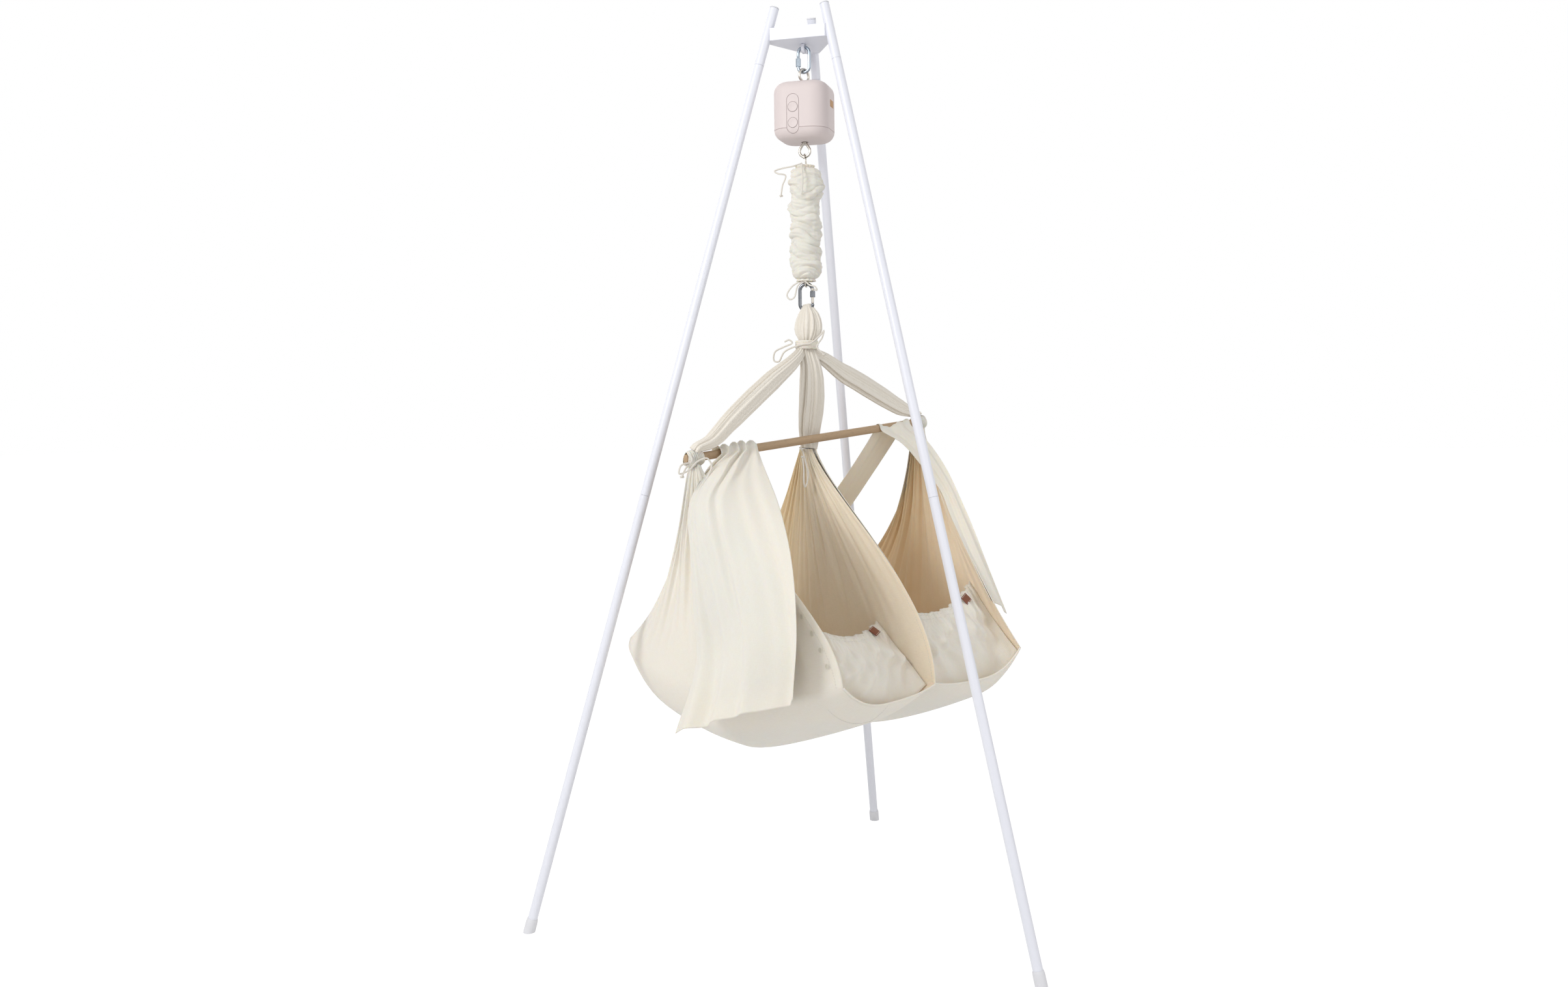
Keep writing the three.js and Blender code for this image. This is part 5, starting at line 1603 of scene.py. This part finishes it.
class SpringBuilder(bpy.types.Operator):
    """Makes the suspension spring and its gathered cotton cover"""

    bl_idname = "hammock.spring"
    bl_label = "Spring and cover"

    def execute(self, context):
        self.spring()
        self.cover()
        return {"FINISHED"}

    def spring(self):
        wire, hook, coil, turns = 0.0019, 0.008, 0.015, 11
        play = SEAT + wire
        hook_top = SPRING_EYE_Z - EYE_RADIUS + EYE_WIRE + play
        hook_low = CARABINER_SPAN[1] - 2 * CARABINER_WIRE - play
        lower = stand_arc(hook_low + hook, hook, 150, 380, 25, 90)
        upper = stand_arc(hook_top - hook, hook, -30, 200, 25, 90)
        angle = np.linspace(0, FULL_TURN * turns, turns * 36)
        height = np.linspace(1.520, 1.748, len(angle))
        middle = np.stack([coil * np.sin(angle), coil * np.cos(angle) + AXIS_Y, height], 1)
        path = [*lower, on_axis(0, 0.012, hook_low + 0.026), *middle]
        path += [on_axis(0, 0.012, hook_top - 0.024), *upper]
        piece = tube("spring_coil", path, wire, "steel", 10)
        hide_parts("spring")
        self.stretch(piece)

    def stretch(self, piece):
        on_axis(0, 0, 1.745)
        on_axis(0, 0, 1.505)
        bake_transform(piece)

    def cover(self):
        low, high = COVER_SPAN
        rows, around = 240, 128
        h = np.linspace(0, 1, rows + 1)[:, None]
        a = round_angles(around)[None, :]
        gather = np.minimum(h, 1 - h)
        shut = clamp01((gather - 0.025) / 0.075)
        full = np.sqrt(np.maximum(0, 1 - (1 - shut) ** 2))
        ruffle = 0.0085 * np.exp(-(((h - 0.84) / 0.08) ** 2)) * np.maximum(0, np.cos(a - 0.1)) ** 1.5
        body = 0.0315 + self.pillows(a, h) + ruffle
        frill = 0.0030 * clamp01((0.025 - gather) / 0.02)
        pleats = 0.0013 * np.cos(15 * a + 3 * np.sin(2 * a)) * (1 - full * 0.75)
        radius = mix(0.0186 + frill, body, full) + pleats
        z = mix(low - 0.0005, high + 0.0005, h) + 0 * a
        points = np.stack([radius * np.cos(a), radius * np.sin(a) + AXIS_Y, z], axis=-1)
        closed = np.concatenate([points, points[:, :1]], axis=1)
        inside = on_axis(0, 0, 1.62)
        piece = sheet_piece("spring_cover_cloth", closed, (0.26, 0.55), ["cotton"], 0.0012, inside)
        cleaned(piece, 1e-5)
        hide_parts("spring_cover")
        self.stretch(piece)

    def pillows(self, a, h):
        """Soft rolls of cloth with narrow creases between them, each of its own shape."""
        lean = 0.55 * np.sin(a + 4 * h) + 0.32 * np.sin(2 * a - 13 * h + 1) + 0.14 * np.sin(3 * a + 23 * h)
        count = 12 * h + lean
        roll = np.floor(count)
        bulge = np.abs(np.sin(np.pi * count)) ** 0.62
        full = 0.62 + 0.38 * np.sin(a + 2.4 * roll) + 0.16 * np.sin(3 * a + 4.1 * roll)
        small = np.sin(FULL_TURN * (27 * h + 0.7 * np.sin(2 * a + 7 * h))) * np.cos(3 * a + 23 * h)
        slow = np.sin(3 * a + 17 * h) + np.sin(2 * a - 29 * h)
        return 0.0074 * bulge * full + 0.0010 * small + 0.0012 * slow


class CarabinerBuilder(bpy.types.Operator):
    """Makes the screw-lock carabiner"""

    bl_idname = "hammock.carabiner"
    bl_label = "Carabiner"

    def execute(self, context):
        low = CARABINER_SPAN[0] + CARABINER_WIRE
        high = CARABINER_SPAN[1] - CARABINER_WIRE
        w = CARABINER_HALF
        path = list(stand_arc(high - w, w, 5, 180, 33)) + list(stand_arc(low + w, w, 180, 355, 33))
        sides = settings("motor").metal_sides
        bow = tube("carabiner_bow", path, CARABINER_WIRE, "dark_chrome", sides)
        placed(bow, "carabiner", "dark_chrome", "carabiner_body")
        radius = 0.0034
        pivot = low + w - 0.0004 + radius
        ball = [
            (radius * math.sin(t), pivot - radius * math.cos(t)) for t in np.linspace(0, math.pi / 2, 9)
        ]
        bar = ball + chamfered(radius, 0, high - w + 0.0004, 0.0006)[3:]
        gate = turned("carabiner_gate_bar", bar, on_axis(w, 0, 0), on_axis(w, 0, 1), "steel", 32)
        placed(gate, "gate", "warm_steel", "carabiner_gate")
        self.sleeve(high - w - 0.016)
        return {"FINISHED"}

    def sleeve(self, start):
        ridges, inner, outer, length = 28, 0.0037, 0.0062, 0.015
        angle = round_angles(ridges * 4)
        ribbed = outer - 0.0003 * (np.arange(len(angle)) % 4 < 2)
        end = [(inner, 0.0), (outer - 0.0007, 0.0), (outer - 0.0002, 0.0006), (outer - 0.0002, 0.0022)]
        other_end = [(radius, length - z) for radius, z in reversed(end)]
        rings = []
        for radius, z in (*end, (ribbed, 0.0026), (ribbed, length - 0.0026), *other_end):
            x = CARABINER_HALF + radius * np.cos(angle)
            y = AXIS_Y + radius * np.sin(angle)
            rings.append(np.stack([x, y, np.full_like(angle, start + z)], axis=1))
        piece = cleaned(skinned("carabiner_sleeve_nut", rings, "dark_chrome", loop=True))
        creased(piece, 25)
        placed(piece, "gate_sleeve", "dark_chrome", "carabiner_sleeve")


# The sling, the bar, the cradles and the loose cloths


def hammock_piece(piece, *nodes, slot_name="cotton"):
    return placed(piece, "hammock", slot_name, *nodes)


class SlingBuilder(bpy.types.Operator):
    """Makes the gathered head of the sling, its band and its three arms"""

    bl_idname = "hammock.sling"
    bl_label = "Sling and arms"

    def execute(self, context):
        self.head()
        self.side_arms()
        self.middle_arm()
        for name, side in SIDES.items():
            self.bar_wrap(name, side)
        return {"FINISHED"}

    def head(self):
        heights = (1.344, 1.354, 1.368, 1.384, 1.400, 1.412, 1.421, 1.4305, 1.4385)
        line = [on_axis(0.001 + 0.003 * math.sin(math.pi * i / 8), 0, z) for i, z in enumerate(heights)]
        sizes = [(20, 19.5), (23.5, 21), (31, 24), (34.5, 25), (34, 24), (31.5, 21.5), (26.5, 18.5)]
        sizes += [(18, 14.5), (9, 7.5)]
        head = gathered("sling_head_cloth", line, sizes, (1, 0, 0), 12, 0.24, 80, 220, 1.5)
        hammock_piece(head, "sling_head")
        self.band()

    def band(self):
        low, high = BAND_SPAN
        angle = round_angles(96)
        outline = [(0.0240, 0.0)]
        outline += [(0.0262 + 0.0012 * math.sin(math.pi * share), share) for share in np.linspace(0, 1, 9)]
        outline += [(0.0240, 1.0)]
        rings = []
        for radius, share in outline:
            wrinkle = radius + 0.0003 * np.sin(9 * angle + 8 * share)
            rings.append(self.level_ring(wrinkle, angle, mix(low, high, share)))
        band = cleaned(skinned("wrap_band_cloth", rings, "cotton", loop=True))
        hammock_piece(band, "wrap_band")
        closed = np.linspace(0, FULL_TURN, 97)
        seams = [self.level_ring(0.0274, closed, z) for z in (low + 0.004, high - 0.004)]
        stitched("wrap_band_stitches", seams, "hammock")

    def level_ring(self, radius, angle, z):
        x, y = radius * np.cos(angle), radius * np.sin(angle) + AXIS_Y
        return np.stack([x, y, np.full_like(angle, z)], axis=1)

    def side_arms(self):
        beside = lambda distance, z: ALONG_BAR * distance + np.array((0, AXIS_Y, z))
        x = ARM_X
        left = [beside(-0.015, ARM_START), beside(-0.018, ARM_EDGE)]
        left += hung_at((-64, -2, 1304), (-128, -4, 1261), (-191, -6, 1217), (-258, -8, 1168))
        left += [*hung_at((-316, -6, 1122)), hung(-x + 0.006, -0.003, bar_z(-x) + 0.022)]
        left.append(hung(-x, 0, bar_z(-x) + 0.0149))
        right = [beside(0.015, ARM_START), beside(0.018, ARM_EDGE)]
        right += hung_at((40, 2, 1309), (91, 4, 1283), (153, 5, 1257), (229, 6, 1224), (304, 5, 1192))
        right += [hung(x - 0.006, 0.003, bar_z(x) + 0.021), hung(x, 0, bar_z(x) + 0.0149)]
        sizes = [(11, 12), (15, 19), (17.5, 25), (18, 26), (18, 25), (17.5, 21), (17, 10)]
        for name, line, seed in (("arm_left", left, 0.4), ("arm_right", right, 2.1)):
            arm = gathered(name + "_cloth", line, sizes, ACROSS_BAR, 7, 0.34, 120, 180, 1.2, seed)
            hammock_piece(arm, name)

    def middle_arm(self):
        line = [on_axis(0, 0, ARM_START), on_axis(0, 0, ARM_EDGE)]
        line += hung_at((-6, 4, 1290), (1, 10, 1230), (7, 22, 1172), (10, 29, 1138), (6, 27, 1098))
        sizes = [(20, 17), (29, 21), (36, 25), (39, 25), (39.5, 21.5), (35, 16), (27, 14)]
        arm = gathered("arm_middle_cloth", line, sizes, ALONG_BAR, 10, 0.30, 130, 220, 0.8, 1.0)
        hammock_piece(arm, "arm_middle")

    def bar_wrap(self, name, side):
        """The cuff of pleated cloth that passes round the bar and joins an arm to the wall below it."""
        x0 = side * ARM_X
        half = 0.021
        rows, around = 40, 84
        s = np.linspace(-1, 1, rows + 1)[:, None]
        a = np.linspace(0, FULL_TURN, around + 1)[None, :]
        bulge = 0.0024 * np.cos(9 * np.pi * s + 1.5 * np.sin(a)) + 0.001 * np.cos(17 * np.pi * s)
        radius = 0.0134 + bulge * (1 - s**2) - 0.0018 * np.abs(s) ** 6
        x = x0 + half * s + 0.002 * np.sin(2 * a)
        z = bar_z(x) + (radius + 0.0032) * np.sin(a) - 0.001
        y = radius * np.cos(a)
        inside = hung(x0, 0, bar_z(x0))
        piece = sheet_piece("bar_wrap_" + name, hung(x, y, z), (0.1, 0.12), ["cotton"], 0.0010, inside)
        cleaned(piece, 1e-5)
        hammock_piece(piece)


class BarBuilder(bpy.types.Operator):
    """Makes the oak spreader bar"""

    bl_idname = "hammock.bar"
    bl_label = "Spreader bar"

    def execute(self, context):
        angle = round_angles(48)
        ring_y = 0.8 * np.sign(np.cos(angle)) * np.abs(np.cos(angle)) ** 0.8
        ring_z = np.sign(np.sin(angle)) * np.abs(np.sin(angle)) ** 0.8
        stations = [(0.0, 0.0), (0.0, 0.78), (0.0006, 0.90), (0.0018, 0.97), (0.004, 1.0)]
        places = [(-BAR_HALF + d, k) for d, k in stations]
        places += [(x, 1.0) for x in np.linspace(-0.36, 0.36, 25)]
        places += [(BAR_HALF - d, k) for d, k in reversed(stations)]
        r = 0.0096
        rings = [hung(x + 0 * angle, r * k * ring_y, bar_z(x) + r * k * ring_z) for x, k in places]
        grain = {"round_size": 0.06, "long_size": 2 * BAR_HALF}
        bar = cleaned(skinned("spreader_bar_wood", rings, "oak", capped=False, **grain))
        creased(bar, 45)
        hammock_piece(bar, "spreader_bar", slot_name="oak")
        return {"FINISHED"}


class CradleBuilder(bpy.types.Operator):
    """Makes the two cradles with their hems, piping, stitches and snaps"""

    bl_idname = "hammock.cradles"
    bl_label = "Cradles"

    def execute(self, context):
        for name, side in SIDES.items():
            inside = hung(side * MIDDLE_OF_CRADLE, -0.04, 0.70)
            points = cradle_points(side)
            flat = (1.72, 0.80)
            # the inner side takes the painted shade and painted light of the cradle's inside
            looks = ["cotton", "lining_" + name]
            piece = sheet_piece("cradle_" + name + "_cloth", points, flat, looks, None, inside)
            hammock_piece(piece, "cradle_" + name)
            self.seams(name, side)
        self.snaps()
        return {"FINISHED"}

    def seams(self, name, side):
        s = np.linspace(-1, 1, 60)
        foot = hung(*base_point(side, np.full_like(s, 1.0), s))
        head = hung(*base_point(side, np.full_like(s, -1.0), s))
        piped("cradle_" + name + "_piping", [foot, head], 0.0021, "hammock")
        t = np.linspace(0.10, 0.985, 90)
        rows = [self.below(side, mix(1.0, 0.86, t), -0.05 + 0 * t)]
        rows.append(self.below(side, 0.86 + 0 * t, mix(-0.9, -0.05, t)))
        for wall in (True, False):
            for edge in (0.965, -0.965):
                x, y, z = wall_point(side, wall, np.full_like(t, edge), t)
                shift = 0.0012 if wall else -0.0012
                rows.append(hung(x + side * shift, y, z))
                rows.append(hung(x - side * shift, y, z))
        stitched("cradle_" + name + "_hem_stitches", rows, "hammock")

    def below(self, side, u, s):
        """A seam on the underside of the base."""
        return hung(*base_point(side, u, s)) - np.array((0, 0, SEAM_LIFT))

    def snaps(self):
        """Eight press snaps in two rows of four, on the foot edges of the left and the middle wall."""
        pieces = []
        rows = {True: (0.771, 0.738, 0.706, 0.674), False: (0.725, 0.687, 0.650, 0.609)}
        for outer, heights in rows.items():
            for z in heights:
                x, y, height = wall_line(-1, outer, 0.95, [z])
                way = -1 if outer else 1
                place = hung(x + 0.0022 * way, y, height)[0]
                pieces.append(turned("snap", self.snap_profile(), place, place + ALONG_BAR * way, "snap", 28))
        hammock_piece(joined("wall_snaps", pieces))

    def snap_profile(self):
        back = [(0, -0.0004), (0.0046, -0.0004), (0.0052, 0.0001), (0.0052, 0.0007)]
        return back + [(0.0044, 0.0012), (0.0034, 0.0012), (0.0030, 0.0007), (0, 0.0007)]


class MattressBuilder(bpy.types.Operator):
    """Makes the two padded mattresses"""

    bl_idname = "hammock.mattresses"
    bl_label = "Mattresses"

    def execute(self, context):
        for name, side in SIDES.items():
            self.mattress(name, side)
        return {"FINISHED"}

    def mattress(self, name, side):
        rows, columns = 72, 40
        a = np.linspace(-1, 1, rows + 1)[:, None]
        b = np.linspace(-1, 1, columns + 1)[None, :]
        u = 0.04 + 0.78 * a * (1 - 0.04 * b**4)
        s = 0.66 * b * (1 - 0.06 * a**6)
        x, y, z = base_point(side, u, s)
        rim = (1 - a**10) * (1 - b**10)
        channels = 1 - 0.16 * np.exp(-(((a * 4) % 1 - 0.5) ** 2) / 0.004)
        top = z + 0.006 + 0.030 * np.maximum(rim, 0) ** 0.35 * channels
        under = z + 0.0032
        upper, lower = hung(x, y, top), hung(x, y, under)
        piece = self.closed(name, upper, lower)
        hammock_piece(piece, "mattress_" + name, slot_name="lining")
        edge = [(upper[i, j] + lower[i, j]) / 2 for i, j in self.rim(rows, columns)]
        piped("mattress_" + name + "_piping", [edge], 0.0022, "hammock")

    def rim(self, rows, columns):
        around = [(0, j) for j in range(columns)] + [(i, columns) for i in range(rows)]
        return around + [(rows, j) for j in range(columns, 0, -1)] + [(i, 0) for i in range(rows, -1, -1)]

    def closed(self, name, upper, lower):
        """A pad between two grids of points, closed round its rim."""
        rows, columns = upper.shape[0] - 1, upper.shape[1] - 1
        count = (rows + 1) * (columns + 1)
        faces, top = grid_faces(rows, columns)
        under, bottom = turned_over(faces, top)
        faces += [tuple(count + k for k in face) for face in under]
        loop = [i * (columns + 1) + j for i, j in self.rim(rows, columns)]
        sides = [(a, b, count + b, count + a) for a, b in zip(loop, loop[1:])]
        faces += sides
        rim = np.array([(0, 0), (1, 0), (1, 1), (0, 1)] * len(sides), float)
        uvs = np.concatenate([top, bottom, rim]) * (0.3 / columns, 0.58 / rows)
        points = np.concatenate([upper.reshape(-1, 3), lower.reshape(-1, 3)])
        # the pads take the right cradle's painted inside shade and painted light
        return cleaned(new_piece("mattress_" + name + "_pad", points, faces, "lining_right", uvs))


class PocketBuilder(bpy.types.Operator):
    """Makes the two foot pockets with their elastic edges and leather tags"""

    bl_idname = "hammock.pockets"
    bl_label = "Pockets"

    def execute(self, context):
        for name, side in SIDES.items():
            points = pocket_points(side)
            inside = hung(side * MIDDLE_OF_CRADLE, 0.0, 0.70)
            flat = (0.44, 0.20)
            piece = sheet_piece("pocket_" + name + "_cloth", points, flat, ["cotton"], 0.0016, inside)
            hammock_piece(piece, "pocket_" + name)
            normal = unit(points[-1, 60] - inside)
            rows = [points[row] + normal * SEAM_LIFT for row in (33, 31)]
            stitched("pocket_" + name + "_elastic_stitches", rows, "hammock")
            self.tag(name, side)
        return {"FINISHED"}

    def tag(self, name, side):
        """A patch of leather that bends over the elastic edge of a pocket."""
        points = pocket_points(side, 100, 400)
        column = 332 if side < 0 else 94
        near = lambda row, k: points[row - 5 : row + 6, k - 8 : k + 9].mean((0, 1))
        middle = near(95, column)
        along = unit(near(95, column + 18) - near(95, column - 18))
        down = near(62, column) - middle
        down = unit(down - along * (down @ along))
        normal = np.cross(down, along)
        if np.dot(normal, middle - hung(side * MIDDLE_OF_CRADLE, 0.0, 0.70)) < 0:
            normal = -normal
        run = np.linspace(-0.019, 0.019, 27)[None, :, None]
        drop = np.linspace(0.014, -0.008, 12)[:, None, None]
        patch = middle + along * run + down * drop + normal * (0.0048 - 4 * run**2)
        inside = middle - normal
        piece = sheet_piece("tag_" + name + "_leather", patch, (0.022, 0.020), ["leather"], 0.0022, inside)
        softened(piece, 0.0005, 2, 50)
        hammock_piece(piece, "tag_" + name, slot_name="leather")
        lift = normal * 0.0012
        rim = [patch[1, 2:-2] + lift, patch[-2, 2:-2] + lift]
        stitched("tag_" + name + "_stitches", rim, "hammock")


class ClothBuilder(bpy.types.Operator):
    """Makes the two loose cloths that lie over the bar"""

    bl_idname = "hammock.loose_cloths"
    bl_label = "Loose cloths"

    def execute(self, context):
        left = laid_points(*self.left_edges(), 5, (0.0062, 0.0165), 170, 150, 4, 0.060)
        right = laid_points(*self.right_edges(), 2.5, (0.0030, 0.0045), 160, 90, 7)
        for name, points in (("left", left), ("right", right)):
            piece = sheet_piece("cover_cloth_" + name + "_muslin", points, (0.7, 0.8), ["cotton"], 0.0011)
            hammock_piece(piece, "cover_cloth_" + name)
            stitched("cover_cloth_" + name + "_hem_stitches", [points[-5]], "hammock")
        return {"FINISHED"}

    def left_edges(self):
        """The outer edge follows the left wall, and the inner one hangs free to the foot."""
        wall = wall_line(-1, True, np.linspace(0.10, 0, 4), [0.98, 0.88, 0.76, 0.64], -0.022)
        outer = over_bar(-0.296) + hung_at((-352, -30, 1056))
        outer += [*hung(*wall), *hung_at((-416, 8, 484))]
        inner = over_bar(-0.185) + hung_at((-232, -90, 1062), (-300, -215, 980), (-362, -330, 860))
        inner += hung_at((-396, -386, 740), (-396, -374, 614))
        return outer, inner

    def right_edges(self):
        """Both edges start behind the bar, and the inner one ends along the right wall."""
        outer = hung_at((250, 210, 860), (268, 110, 985)) + over_bar(0.318)[1:]
        outer += hung_at((352, -40, 1106), (378, -78, 1040), (387, -124, 955), (389, -162, 885))
        outer += hung_at((389, -200, 809), (387, -238, 740), (383, -268, 690))
        wall = wall_line(1, True, 0.99, [0.985, 0.930, 0.875, 0.820, 0.770, 0.735], 0.006, 0.002)
        inner = hung_at((150, 190, 890), (180, 100, 1005)) + over_bar(0.212)[1:]
        inner += [*hung_at((262, -36, 1106), (318, -52, 1046)), *hung(*wall)]
        return outer, inner


# The panel and the run

BUILDERS = (
    StageBuilder,
    CordBuilder,
    LegBuilder,
    BracketBuilder,
    LinkBuilder,
    MotorBuilder,
    SpringBuilder,
    CarabinerBuilder,
    SlingBuilder,
    BarBuilder,
    CradleBuilder,
    MattressBuilder,
    PocketBuilder,
    ClothBuilder,
)
GROUPS = {
    "stand": StandSettings,
    "motor": MotorSettings,
    "cloth": ClothSettings,
    "wood": WoodSettings,
    "stage": StageSettings,
}


class HammockPanel(bpy.types.Panel):
    """Lists the steps that dress the hammock's frame"""

    bl_idname = "HAMMOCK_PT_steps"
    bl_label = "Twin baby hammock"
    bl_space_type = "VIEW_3D"
    bl_region_type = "UI"
    bl_category = "Hammock"

    def draw(self, context):
        for group in GROUPS:
            box = self.layout.box()
            box.label(text=group.capitalize())
            values = settings(group)
            for name in values.bl_rna.properties.keys():
                if name not in ("rna_type", "name"):
                    box.prop(values, name)
        for builder in BUILDERS:
            self.layout.operator(builder.bl_idname)


def register():
    for group, kind in GROUPS.items():
        bpy.utils.register_class(kind)
        setattr(bpy.types.Scene, "hammock_" + group, PointerProperty(type=kind))
    for kind in (*BUILDERS, HammockPanel):
        bpy.utils.register_class(kind)


def unregister():
    for kind in (HammockPanel, *reversed(BUILDERS)):
        bpy.utils.unregister_class(kind)
    for group, kind in GROUPS.items():
        delattr(bpy.types.Scene, "hammock_" + group)
        bpy.utils.unregister_class(kind)


def main():
    register()
    for builder in BUILDERS:
        group, name = builder.bl_idname.split(".")
        getattr(getattr(bpy.ops, group), name)()


if __name__ == "__main__":
    main()
